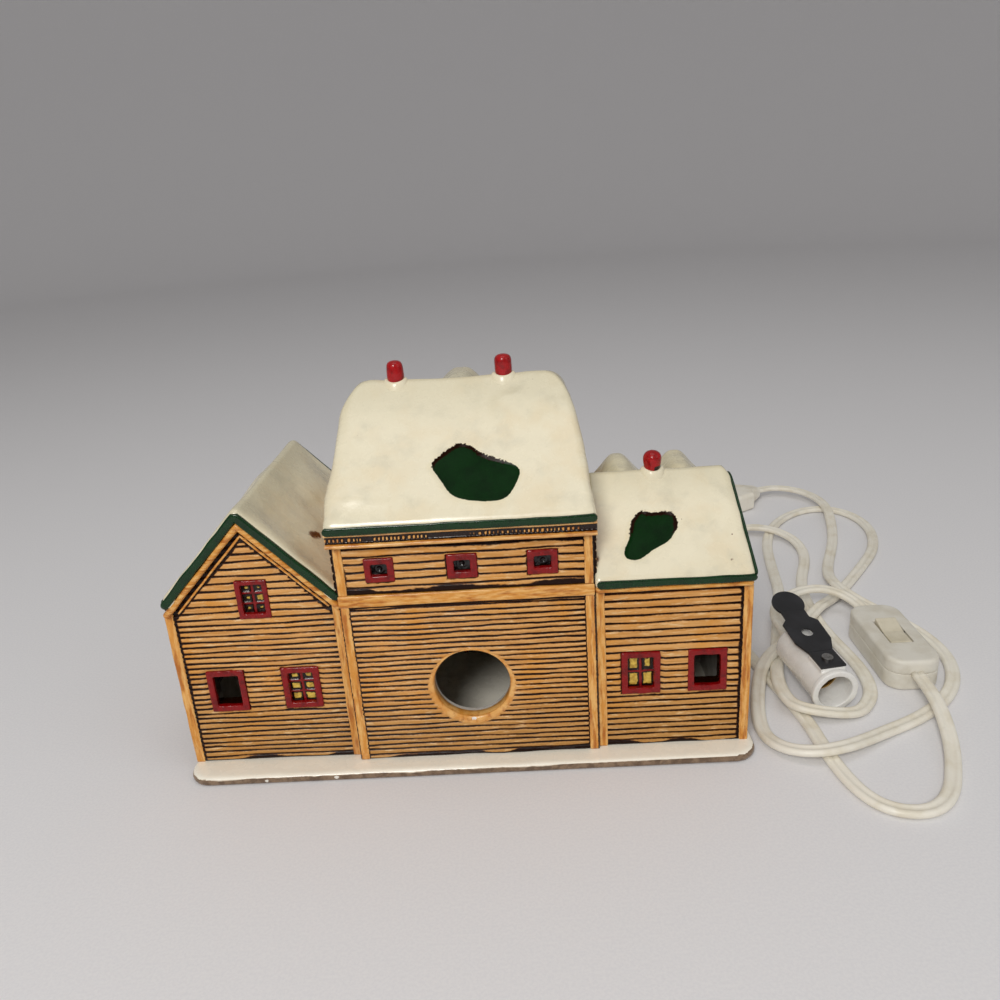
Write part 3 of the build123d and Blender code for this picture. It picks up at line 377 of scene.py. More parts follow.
def lip_material():
    """Bare orange glaze with a white chip at the bottom."""
    g = Glaze("lip_glaze", OCHRE_PALE, Coat_Weight=0.35, Coat_Roughness=0.12, Roughness=0.28)
    g.layer(g.noise(4, 4), 0.35, 0.66, OCHRE)
    g.layer(g.noise(2.4, 4, shift=3.0), 0.52, 0.72, OCHRE_DARK, 0.85)
    g.layer(g.uneven(g.attribute("chip"), g.noise(0.8, 2), 0.5), 0.42, 0.58, LIP_CHIP)
    return g.bump(g.noise(1.6, 4), 0.15)


def wall_material(axis, sign, limit):
    """A wall's own clay: glazed outside, bare grey inside its inner face."""
    g = Glaze(f"wall_clay_{axis}_{abs(round(limit * 10))}_{'p' if sign > 0 else 'n'}", Coat_Weight=0.15)
    edge = g.uneven(g.math("MULTIPLY", g.along(axis), float(sign)), g.noise(3, 3), 1.6)
    inner, outer = limit - 3.4, limit - 2.6
    g.colour = g.tones(7, 4, 0.35, 0.7, BISQUE, BISQUE_DARK)
    g.layer(edge, inner, outer, g.tones(5, 3, 0.4, 0.7, OCHRE, OCHRE_DARK, 3.0))
    g.set("Roughness", g.step(edge, inner, outer, 0.75, 0.32))
    return g.bump(g.noise(1.8, 4), 0.2, 0.5)


def plastic_material(name, base, shade, rough, bump=0.03, grain=0.5, coat=0.0, crease_shade=None):
    """Moulded plastic with a faint mottle, handling marks, a fine skin and painted shade in its creases."""
    g = Glaze(name, base, Coat_Weight=coat, Coat_Roughness=0.1)
    g.layer(g.noise(9, 4), 0.4, 0.7, shade)
    g.layer(g.noise(3, 5, 0.7, shift=3.0), 0.6, 0.75, [c * 0.7 for c in shade[:3]] + [1.0], 0.2)
    # Painted shade: darker in the concave creases
    if crease_shade is not None:
        g.over(g.step(g.pointiness(), 0.36, 0.46, 0.75, 0.0), crease_shade)
    g.gloss(4, 4, 5.0, rough, rough + 0.14)
    return g.bump(g.noise(grain, 3), bump)


def metal_material(name, base, shade, rough):
    """Bare metal with fine scratches and dull patches."""
    g = Glaze(name, base, Metallic=1.0)
    g.layer(g.noise(1.2, 4), 0.35, 0.7, shade)
    g.gloss(0.8, 4, 0.0, rough, rough + 0.25, (1, 4, 1))
    return g.bump(g.noise(0.35, 3, stretch=(1, 6, 1)), 0.02)


def cloth_material():
    """Pale woven cloth of the floor."""
    g = Glaze("floor_cloth", srgb(234, 233, 234), Roughness=0.9)
    weave = g.noise(0.9, 2)
    g.layer(weave, 0.3, 0.7, srgb(229, 228, 230))
    return g.bump(weave, 0.05, 0.4)


SNOW, BASE = snow_material(), base_material()
ROOF = roof_material("roof_glaze", **SNOW_COAT)
BARE_ROOF = roof_material("bare_roof_glaze", Specular_IOR_Level=0.06)
SIDING, SASH = siding_material(), sash_material()
TRIM = trim_material("trim_glaze", (4.0, 4.0, 0.7))
POST = trim_material("post_glaze", (0.7, 0.7, 5.0))
RED_PAINT = painted_material("red_glaze", RED, RED_DARK, RED_LIGHT)
POT_PAINT = painted_material("pot_glaze", srgb(168, 16, 20), srgb(120, 8, 12), srgb(190, 50, 44))
GREEN_PAINT = painted_material("green_glaze", GREEN, GREEN_DEEP, GREEN_LIGHT)
HOLDER = plastic_material("holder_plastic", srgb(244, 243, 239), srgb(237, 235, 229), 0.2, coat=0.3)
SHEATH = plastic_material(
    "cord_sheath", srgb(243, 238, 224), srgb(230, 222, 202), 0.34, grain=0.8, crease_shade=srgb(150, 132, 100))
SWITCH = plastic_material("switch_plastic", srgb(229, 225, 213), srgb(216, 210, 194), 0.3, coat=0.1)
ROCKER = plastic_material("rocker_plastic", srgb(222, 214, 192), srgb(206, 197, 172), 0.3, coat=0.1)
CLIP = plastic_material("clip_black", srgb(26, 26, 29), srgb(38, 38, 42), 0.34, bump=0.04, coat=0.1)
STEEL = metal_material("rivet_steel", srgb(170, 168, 165), srgb(120, 118, 116), 0.28)
BRASS = metal_material("contact_brass", srgb(196, 160, 92), srgb(180, 144, 80), 0.26)


# Building pieces
def unit(vectors):
    return vectors / np.linalg.norm(vectors, axis=-1, keepdims=True)


def places(x, y, z):
    """Points from three arrays or numbers."""
    return np.stack(np.broadcast_arrays(x, y, z), -1)


def read(items, key, width=1, kind=np.float32):
    """A property of all of a mesh's items, width values each."""
    values = np.empty(len(items) * width, kind)
    items.foreach_get(key, values)
    return values


def join(parts):
    """Several closed meshes as one."""
    verts, faces, attrs, offset = [], [], {}, 0
    for part_verts, part_faces, part_attrs in parts:
        verts.append(part_verts)
        faces += [[i + offset for i in f] for f in part_faces]
        for key, value in part_attrs.items():
            attrs.setdefault(key, []).append(value)
        offset += len(part_verts)
    return np.concatenate(verts), faces, {k: np.concatenate(v) for k, v in attrs.items()}


def placed(name, mesh, materials, attrs, replaced, body="house"):
    """A mesh as a smooth, painted piece that rides on a body and stands for the replaced CAD nodes."""
    mesh.polygons.foreach_set("use_smooth", [True] * len(mesh.polygons))
    for key, values in attrs.items():
        layer = mesh.attributes.new(key, "FLOAT", "POINT")
        layer.data.foreach_set("value", np.asarray(values, np.float32))
    mesh.materials.clear()
    for material in materials:
        mesh.materials.append(material)
    mesh.update()
    piece = bpy.data.objects.new(name, mesh)
    scene.collection.objects.link(piece)
    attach(piece, body)
    if replaced:
        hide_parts(*replaced)
    return piece


def add_piece(name, parts, material, slot, *replaced):
    """A piece from closed parts, each of points in mm, faces and attributes."""
    verts, faces, attrs = join(parts)
    mesh = bpy.data.meshes.new(name)
    mesh.from_pydata([tuple(v) for v in verts * MM], [], [tuple(int(i) for i in f) for f in faces])
    return placed(name, mesh, [material], attrs, replaced)


def finish_node(node_name, material):
    """Give a CAD solid that shows as it is its material."""
    mesh = nodes[node_name].data
    mesh.materials.clear()
    mesh.materials.append(material)


def ring_faces(rows, ring, order=(0, 1, 2, 3), loop=False):
    """Four-sided faces between rings of points, and back to the first ring in a loop."""
    a = np.arange(rows * ring).reshape(rows, ring)
    if loop:
        a = np.concatenate([a, a[:1]])
    b = np.roll(a, -1, axis=1)
    return np.stack([a[:-1], b[:-1], b[1:], a[1:]], -1).reshape(-1, 4)[:, order].tolist()


def tube(rings):
    """A tube through rings of points, closed by a face at each end."""
    rows, ring = rings.shape[:2]
    ends = [list(range(ring)), [(rows - 1) * ring + k for k in reversed(range(ring))]]
    return rings.reshape(-1, 3), ring_faces(rows, ring, (0, 3, 2, 1)) + ends, {}


def lathe(place, axis, profile, steps, wobble=0.0, seed=0):
    """Rings of points of a turned form: profile is pairs of radius and height along the axis."""
    axis = np.array(axis, float)
    side = np.array((1.0, 0, 0)) if abs(axis[2]) > 0.9 else unit(np.cross(axis, UP))
    angles = np.linspace(0, 2 * math.pi, steps, endpoint=False)[:, None]
    spokes = np.cos(angles) * side + np.sin(angles) * np.cross(axis, side)
    radius, height = np.array(profile, float).T[:, :, None, None]
    rings = np.array(place, float) + height * axis + radius * spokes
    if wobble:
        shift = wobble * soft_noise(rings, 4.0, seed)[..., None]
        rings = rings + shift * spokes * radius / np.maximum(radius, 0.3)
    return rings


def capped(rings):
    """A turned form closed by a face at each end."""
    rows, steps = rings.shape[:2]
    ends = [list(reversed(range(steps))), [(rows - 1) * steps + k for k in range(steps)]]
    return rings.reshape(-1, 3), ring_faces(rows, steps) + ends, {}


def slab(front, back, attrs, keep=None):
    """A closed relief between two grids of points, with the cells that keep says."""
    rows, cols = front.shape[:2]
    count = rows * cols
    index = np.arange(count).reshape(rows, cols)
    quads = np.stack([index[:-1, :-1], index[:-1, 1:], index[1:, 1:], index[1:, :-1]], -1)
    quads = quads.reshape(-1, 4) if keep is None else quads[keep]
    edges = np.concatenate([quads[:, [k, (k + 1) % 4]] for k in range(4)])
    forward_key = edges[:, 0] * count + edges[:, 1]
    reverse_key = edges[:, 1] * count + edges[:, 0]
    start, end = edges[~np.isin(forward_key, reverse_key)].T
    sides = np.stack([end, start, start + count, end + count], -1)
    faces = np.concatenate([quads, quads[:, ::-1] + count, sides])
    verts = np.concatenate([front.reshape(-1, 3), back.reshape(-1, 3)])
    used, faces = np.unique(faces, return_inverse=True)
    values = {k: np.tile(np.asarray(v, float).reshape(-1), 2)[used] for k, v in attrs.items()}
    return verts[used], faces.reshape(-1, 4), values


class Face:
    """A wall face: a point on it, a direction along it and its outward normal."""

    def __init__(self, origin, along, normal):
        self.origin, self.along, self.normal = (np.array(v, float) for v in (origin, along, normal))

    def points(self, u, z, h):
        u, z, h = (np.asarray(a, float)[..., None] for a in np.broadcast_arrays(u, z, h))
        return self.origin + u * self.along + z * np.array(UP) + h * self.normal


def back_face(y):
    return Face((0, y, 0), RIGHT, BACK)


def front_face(y):
    return Face((0, y, 0), LEFT, FRONT)


def left_face(x):
    return Face((x, 0, 0), BACK, LEFT)


def right_face(x):
    return Face((x, 0, 0), FRONT, RIGHT)


# Rows of one board: mm from its lower edge, or from its upper edge if negative, with height and stain
BOARD_ROWS = (
    (0.0, 0.0, 1.0), (0.16, 0.04, 1.0), (0.32, 0.1, 0.95), (0.5, 0.3, 0.7), (0.72, 0.48, 0.25),
    (1.0, 0.55, 0.0), (-0.7, 0.56, 0.0), (-0.34, 0.5, 0.0), (-0.16, 0.22, 0.5))
SKIN_DEPTH, SKIN_LIFT, BOARD_STEP, FINE_STEP = 0.5, 0.3, 1.2, 0.8
OPENING_INSET, HOLE_MARGIN = 1.0, 0.7
FAR = 9.0


def shade_and_stain_band(distance, width):
    """Full stain and painted shade at an edge, fading out about width away from it."""
    return 1 - smooth_step(0.3 * width, 1.3 * width, distance)


def hole_weight(du, dz):
    """How much glaze has pooled round the lamp hole: 0 above it, 1 below it."""
    return 0.5 - 0.5 * dz / np.maximum(np.hypot(du, dz), 1e-6)


def siding(
    face, span, rise, pitches, seed, openings=(), inside=None, hole=None, trim=(0, 0, 0, 0), below=None,
):
    """Hand-cut boards over a wall face, with gaps at the openings, stain in grooves, and stain with painted
    shade along trim.

    span is from where to where along the face, and rise from foot to top. trim is the width of trim over
    the left, right, lower and upper edges, or None where an edge has no stain or painted shade; below
    gives the distance under a slanting trim.
    """
    (u0, u1), (z0, z1) = span, rise
    heights, sizes = zip(*pitches)
    levels = [z0]
    while levels[-1] < z1:
        levels.append(levels[-1] + float(np.interp(levels[-1], heights, sizes)))
    levels = z0 + (np.array(levels) - z0) * (z1 - z0) / (levels[-1] - z0)
    lines = list(np.linspace(u0, u1, max(3, int((u1 - u0) / (FINE_STEP if hole else BOARD_STEP)))))
    for u, z, w, h in openings:
        lines += [u - w / 2 + OPENING_INSET, u + w / 2 - OPENING_INSET]
    lines = np.array(sorted(x for x in set(np.round(lines, 3)) if u0 <= x <= u1))
    count = len(levels) - 1
    table = [
        (levels[k + (offset < 0)] + offset, height, stain, k + (offset < 0))
        for k in range(count) for offset, height, stain in BOARD_ROWS]
    table.append((levels[-1], 0.0, 1.0, count))
    rows, profile, groove, board = np.array(table, float).T[:, :, None]
    u = np.broadcast_to(lines[None, :], (len(rows), len(lines)))
    wander = places(u / 16.0, board * 3.7, seed * 9.1)
    z = rows + 0.26 * soft_noise(wander, 1.0, seed) + 0.1 * soft_noise(wander * 4.0, 1.0, seed + 1)
    swell = places(u, z, seed * 31.0)
    h = SKIN_LIFT + profile * (1.0 + 0.25 * soft_noise(wander * 1.7, 1.0, seed + 2))
    h = h + 0.12 * soft_noise(swell, 18.0, seed + 3)
    g = groove * (0.88 + 0.42 * soft_noise(wander * 2.3, 1.0, seed + 4))
    along = places(u, 0.0, seed * 17.0)
    vary = soft_noise(along, 11.0, seed + 6)
    sides = np.full(u.shape, FAR)
    left, right, foot, top = trim
    if left is not None:
        sides = np.minimum(sides, u - u0 - left)
    if right is not None:
        sides = np.minimum(sides, u1 - right - u)
    # Painted shade with grime beside and under the trim, at the foot and round the openings
    shade_and_grime = shade_and_stain_band(sides, 0.38 + 0.15 * soft_noise(swell, 6.0, seed + 7))
    if foot is not None:
        shade_and_grime = np.maximum(shade_and_grime, shade_and_stain_band(z - z0 - foot, 1.7 + 1.3 * vary))
    if top is not None:
        shade_and_grime = np.maximum(shade_and_grime, shade_and_stain_band(z1 - top - z, 1.5 + 0.8 * soft_noise(along, 14.0, seed + 8)))
    for wu, wz, ww, wh in openings:
        outside = np.maximum(np.abs(u - wu) - ww / 2, np.abs(z - wz) - wh / 2)
        shade_and_grime = np.maximum(shade_and_grime, 0.9 * shade_and_stain_band(outside, 0.3))
        h = np.where(outside < 0.5, np.minimum(h, 0.3), h)
    if below is not None:
        under = below(u, z)
        shade_and_grime = np.maximum(shade_and_grime, shade_and_stain_band(under, 1.0 + 0.4 * vary))
        sides = np.minimum(sides, under)
    # Painted shade with stain: the grooves get darker near the trim at the sides
    g = g + 0.4 * (g > 0.05) * np.exp(-np.maximum(sides, 0) / 2.2)
    if hole:
        radius = np.hypot(u - hole[0], z - hole[1])
        weight = hole_weight(u - hole[0], z - hole[1])
        ragged = radius + 0.6 * soft_noise(swell, 4.0, seed + 5)
        fade = smooth_step(0.0, 1.0, (ragged - hole[2] - 0.5 - 0.9 * weight) / (0.9 + 0.9 * weight))
        g = g * fade
        h = 0.6 + (h - 0.6) * fade
    middle_u = (u[:-1, :-1] + u[1:, 1:]) / 2
    middle_z = (z[:-1, :-1] + z[1:, 1:]) / 2
    keep = np.ones(middle_u.shape, bool)
    for wu, wz, ww, wh in openings:
        past = np.maximum(np.abs(middle_u - wu) - ww / 2, np.abs(middle_z - wz) - wh / 2)
        keep &= past >= -OPENING_INSET
    if hole:
        keep &= np.hypot(middle_u - hole[0], middle_z - hole[1]) > hole[2] + HOLE_MARGIN
    if inside is not None:
        keep &= inside(middle_u, middle_z)
    return slab(face.points(u, z, h), face.points(u, z, -SKIN_DEPTH), {"groove": g, "shade_and_grime": shade_and_grime}, keep)


def soft_mesh(name, source, voxel, rounds):
    """A CAD solid remeshed finely, with its edges melted as under thick glaze."""
    shape = bmesh.new()
    shape.from_mesh(nodes[source].data)
    bmesh.ops.remove_doubles(shape, verts=shape.verts[:], dist=1e-6)
    raw_mesh = bpy.data.meshes.new(name + "_raw")
    shape.to_mesh(raw_mesh)
    shape.free()
    raw = bpy.data.objects.new(name + "_raw", raw_mesh)
    scene.collection.objects.link(raw)
    remesh = raw.modifiers.new("remesh", "REMESH")
    remesh.mode = "VOXEL"
    remesh.voxel_size = voxel * MM
    melt = raw.modifiers.new("melt", "SMOOTH")
    melt.factor = 0.5
    melt.iterations = rounds
    mesh = bpy.data.meshes.new_from_object(raw.evaluated_get(bpy.context.evaluated_depsgraph_get()))
    bpy.data.objects.remove(raw)
    bpy.data.meshes.remove(raw_mesh)
    return mesh


def eased(mesh, co, rounds):
    """Points drawn towards their neighbours."""
    ends = read(mesh.edges, "vertices", 2, np.int32)
    a, b = ends.reshape(-1, 2).T
    share = np.bincount(ends, minlength=len(co))[:, None]
    for _ in range(rounds):
        total = np.zeros_like(co)
        np.add.at(total, a, co[b])
        np.add.at(total, b, co[a])
        co = 0.5 * co + 0.5 * total / share
    return co


# Faces nearer than this to a bare patch take its material, in mm
BARE_EDGE = 1.3


def soft_piece(
    name, source, voxel, rounds, material, lumps=(), shift=None, attrs=None, warp=None, calm=None,
    bare=None, body="house", ease=0,
):
    """A piece that stands for a CAD solid with melted edges, lumps and painted zones.

    warp moves points before the lumps, ease is the rounds of smoothing after it, calm is the share of the
    lumps that each point gets, and bare is the material of the faces inside a bare patch.
    """
    mesh = soft_mesh(name, source, voxel, rounds)
    co = read(mesh.vertices, "co", 3)
    if warp is not None:
        moved = eased(mesh, warp(co.reshape(-1, 3).astype(float) / MM), ease)
        co = (moved * MM).astype(np.float32).ravel()
        mesh.vertices.foreach_set("co", co)
        mesh.update()
    co = co.reshape(-1, 3).astype(float) / MM
    normals = read(mesh.vertex_normals, "vector", 3).reshape(-1, 3).astype(float)
    paint = attrs(co, normals) if attrs else {}
    offset = np.zeros(len(co))
    for size, height, seed in lumps:
        offset += height * soft_noise(co, size, seed)
    if calm is not None:
        offset *= calm(co)
    if shift is not None:
        offset += shift(co, normals, paint)
    co = co + offset[:, None] * normals
    mesh.vertices.foreach_set("co", (co * MM).astype(np.float32).ravel())
    mesh.name = name
    materials = [material] if bare is None else [material, bare]
    piece = placed(name, mesh, materials, paint, [source], body)
    if bare is not None:
        corner = read(mesh.polygons, "loop_start", kind=np.int32)
        point = read(mesh.loops, "vertex_index", kind=np.int32)
        inside = paint["patch"][point[corner]] < BARE_EDGE
        mesh.polygons.foreach_set("material_index", inside.astype(np.int32))
        mesh.update()
    return piece


# The two flat twin cords, on the route of their CAD tubes
CORD_WIDTH, CORD_HEIGHT = 5.4, 2.7
lamp_points = [
    (132.5, 11.5, 12.0), (130.9, 21.0, 12.8), (131.0, 32.5, 12.6), (135.0, 43.2, 12.3),
    (143.0, 52.5, 12.0), (151.6, 57.7, 11.8), (160.5, 58.8, 11.4), (167.5, 56.1, 10.0),
    (172.2, 50.3, 8.5), (174.0, 43.0, 7.5), (174.0, 38.0, 7.5),
]
main_points = [
    (174.0, -10.0, 7.5), (174.0, -19.0, 7.5), (173.4, -31.0, 6.0), (170.0, -47.0, 2.8),
    (164.5, -60.0, 1.5), (159.5, -69.3, 1.5), (153.0, -76.3, 1.5), (145.2, -78.9, 1.5),
    (136.4, -76.5, 1.5), (130.7, -69.3, 1.5), (127.5, -56.0, 1.5), (126.4, -43.0, 1.5),
    (126.0, -30.0, 1.5), (123.2, -13.0, 1.5), (119.8, 3.5, 1.5), (116.7, 20.5, 1.5),
    (113.9, 38.5, 1.5), (111.6, 57.2, 1.5), (109.6, 77.0, 1.5), (108.5, 97.5, 1.5),
    (112.0, 118.0, 1.5), (121.0, 136.0, 1.5), (134.0, 148.0, 2.2), (149.0, 152.0, 4.8),
    (162.0, 147.5, 4.8), (171.0, 136.0, 3.4), (172.5, 122.0, 1.8), (168.5, 107.0, 1.5),
    (161.5, 91.0, 1.5), (157.0, 75.0, 1.5), (155.0, 58.0, 1.5), (154.7, 44.0, 1.5),
    (155.5, 30.0, 1.5), (157.5, 16.0, 1.5), (158.5, 3.0, 1.5), (156.6, -10.5, 1.5),
    (152.0, -18.8, 1.5), (146.2, -25.0, 1.8), (137.2, -26.8, 3.4), (127.0, -26.0, 5.0),
    (121.6, -21.2, 4.8), (120.8, -10.5, 4.8), (122.8, 1.0, 4.4), (126.8, 13.5, 1.9),
    (131.0, 28.0, 1.5), (136.0, 44.0, 1.5), (142.0, 62.0, 1.5), (147.0, 80.0, 1.5), (149.5, 98.0, 1.5),
    (152.5, 116.0, 1.5), (156.0, 133.0, 1.5), (163.0, 152.0, 1.5), (174.0, 168.0, 1.5),
    (188.0, 179.0, 1.5), (203.0, 181.5, 1.5), (214.0, 172.0, 1.5), (218.0, 156.0, 1.5),
    (216.0, 138.0, 1.5), (208.0, 118.0, 1.5), (195.9, 100.8, 1.5), (183.9, 84.8, 1.5),
    (172.7, 70.7, 1.5), (164.9, 61.6, 3.0), (157.5, 53.5, 4.8), (147.0, 40.0, 4.8),
    (137.0, 28.0, 4.8), (127.0, 18.0, 4.8), (118.0, 6.0, 4.8), (112.2, -10.0, 2.4),
    (108.5, -25.0, 1.5), (107.7, -37.0, 1.8), (112.3, -46.2, 3.2), (121.0, -50.6, 4.8),
    (131.5, -48.8, 4.8), (141.5, -43.3, 3.2), (152.5, -36.5, 1.7), (164.5, -30.8, 1.5),
    (178.0, -22.0, 1.5), (190.0, -8.0, 1.5), (196.5, 10.0, 1.5), (195.5, 28.0, 1.5),
    (189.0, 42.0, 2.4), (181.0, 52.5, 3.8), (175.0, 64.0, 4.8), (172.3, 77.0, 4.8),
    (174.5, 91.0, 3.0), (181.0, 108.0, 1.5), (187.5, 122.0, 1.5), (193.9, 138.0, 1.5),
    (199.4, 156.0, 2.4), (203.2, 174.5, 4.8), (202.4, 190.2, 4.8), (198.2, 201.7, 4.6),
    (191.2, 208.9, 4.8), (182.0, 211.3, 5.2), (173.4, 208.7, 5.5), (168.7, 205.8, 5.5),
]


def spline_points(name, route):
    """Points in mm along the smooth spline that has the route as its control points."""
    data = bpy.data.curves.new(name + "_line", "CURVE")
    data.dimensions = "3D"
    data.resolution_u = 6
    spline = data.splines.new("NURBS")
    spline.points.add(len(route) - 1)
    for point, place in zip(spline.points, route):
        point.co = (*(Vector(place) * MM), 1.0)
    spline.order_u = 3
    spline.use_endpoint_u = True
    line = bpy.data.objects.new(name + "_line", data)
    scene.collection.objects.link(line)
    mesh = bpy.data.meshes.new_from_object(line)
    points = np.array([v.co[:] for v in mesh.vertices]) / MM
    bpy.data.objects.remove(line)
    bpy.data.curves.remove(data)
    bpy.data.meshes.remove(mesh)
    return points


def twin_section():
    """Outline of a flat cord of two round cores with a groove between them."""
    lobe, half = CORD_HEIGHT / 2, (CORD_WIDTH - CORD_HEIGHT) / 2
    angles = np.radians(np.linspace(-118, 118, 15))
    right = [(half + lobe * math.cos(a), lobe * math.sin(a)) for a in angles]
    top, bottom = (0.0, lobe * 0.6), (0.0, -lobe * 0.6)
    left = [(-x, -y) for x, y in right]
    return np.array(right + [top] + left + [bottom])


def flat_cord(name, route, replaced):
    """A flat twin cord swept along the route's spline, lying on its wide side."""
    points = spline_points(name, route)
    gaps = np.linalg.norm(np.diff(points, axis=0), axis=1)
    points = points[np.concatenate([[True], gaps > 1e-4])]
    tangent = unit(np.gradient(points, axis=0))
    side = unit(np.cross(tangent, UP))
    up = np.cross(side, tangent)
    section = twin_section()
    rings = points[:, None] + section[None, :, :1] * side[:, None] + section[None, :, 1:] * up[:, None]
    return add_piece(name, [tube(rings)], SHEATH, "cord_sheath", replaced), points


lamp_flex, lamp_line = flat_cord("lamp_flex", lamp_points, "lamp_cord")
main_flex, main_line = flat_cord("main_flex", main_points, "main_cord")

# Walls: clay behind, hand-cut boards in front
for node_name, axis, sign, limit in (
    ("main_back_wall", "Y", -1, -BACK_Y), ("left_back_wall", "Y", -1, -LEFT_BACK_Y),
    ("right_back_wall", "Y", -1, -RIGHT_BACK_Y), ("main_front_wall", "Y", 1, MAIN_FRONT_Y),
    ("left_front_wall", "Y", 1, LEFT_FRONT_Y), ("right_front_wall", "Y", 1, RIGHT_FRONT_Y),
    ("left_side_wall", "X", -1, -LEFT_X), ("right_end_wall", "X", 1, RIGHT_X),
    ("main_left_wall", "X", -1, -MAIN_X0), ("main_right_wall", "X", 1, MAIN_X1),
):
    finish_node(node_name, wall_material(axis, sign, limit))

LEFT_PITCH = ((3, 2.1), (58, 2.2), (68, 2.8), (99, 2.8))
MAIN_PITCH = ((3, 2.08), (70, 2.08))
UPPER_PITCH = ((69, 3.15), (95, 3.15))
RIGHT_PITCH = ((3, 2.35), (25, 2.4), (42, 3.0), (70, 3.0))
SMALL_PITCH = ((60, 2.2), (130, 2.2))


def low(u):
    return (u, LOW_Z, LOW_W, LOW_H)


def small(u):
    return (u, SMALL_Z, SMALL_W, SMALL_H)


def left_gable_below(u, z):
    """Distance under the thin bead that follows the left gable's slopes."""
    slope = LEFT_RISE / LEFT_HALF
    top = WING_TOP + ROOF_EDGE + LEFT_RISE - slope * np.abs(np.abs(u) - abs(LEFT_MID_X))
    return (top - z) / math.hypot(1, slope) - 8.0


def left_gable_inside(u, z):
    within = np.abs(np.abs(u) - abs(LEFT_MID_X)) < 25.5
    return np.where(within, left_gable_below(u, z) > -4.4, z < WING_TOP)


def gable(middle, foot, half, slope):
    """Limits of the boards in a front gable: inside it, under its slopes, and stained at its foot."""
    def inside(u, z):
        away = np.abs(u - middle)
        return (away < half) & (z < foot + (half + 1.5 - away) * slope - 0.3)

    def below(u, z):
        return (foot + (half + 0.5 - np.abs(u - middle)) * slope - z) / math.hypot(1, slope)

    return {"inside": inside, "below": below, "trim": (None, None, 0, None)}


left_back, main_back, right_back = (back_face(y) for y in (LEFT_BACK_Y, BACK_Y, RIGHT_BACK_Y))
left_front, main_front, right_front = (front_face(y) for y in (LEFT_FRONT_Y, MAIN_FRONT_Y, RIGHT_FRONT_Y))
left_side, right_side, panel_face = left_face(LEFT_X), right_face(RIGHT_X), front_face(GABLE_FRONT_Y + 0.3)
BURY, PANEL_HALF, DORMER_HALF = 0.3, 19.5, 8.5
FOOT = FLOOR_Z - BURY
LOWER, UPPER = (FOOT, POST_TOP + BURY), (UPPER_FOOT - BURY, MAIN_POST_TOP + BURY)
WING, GABLED, SIDE, HIGH = (FOOT, 67.2), (FOOT, 99.5), (FOOT, WING_TOP), (WING_TOP + 0.5, MAIN_TOP)
MAIN_BACK_SPAN, MAIN_FRONT_SPAN = (MAIN_X0, MAIN_X1), (-MAIN_X1, -MAIN_X0)
ENDS = (POST_WIDTH, POST_WIDTH)
MAIN_TRIM, WING_TRIM, SIDE_TRIM = (*ENDS, BURY, BURY), (*ENDS, BURY, 1.3), (0, 0, BURY, 0)
LEFT_GABLE = {"inside": left_gable_inside, "below": left_gable_below, "trim": (*ENDS, BURY, None)}
GABLE_OPENING = (GABLE_Z, GABLE_W, GABLE_H)
DOOR_OPENING = (-DOOR_X, FLOOR_Z + DOOR_H / 2, DOOR_W, DOOR_H)
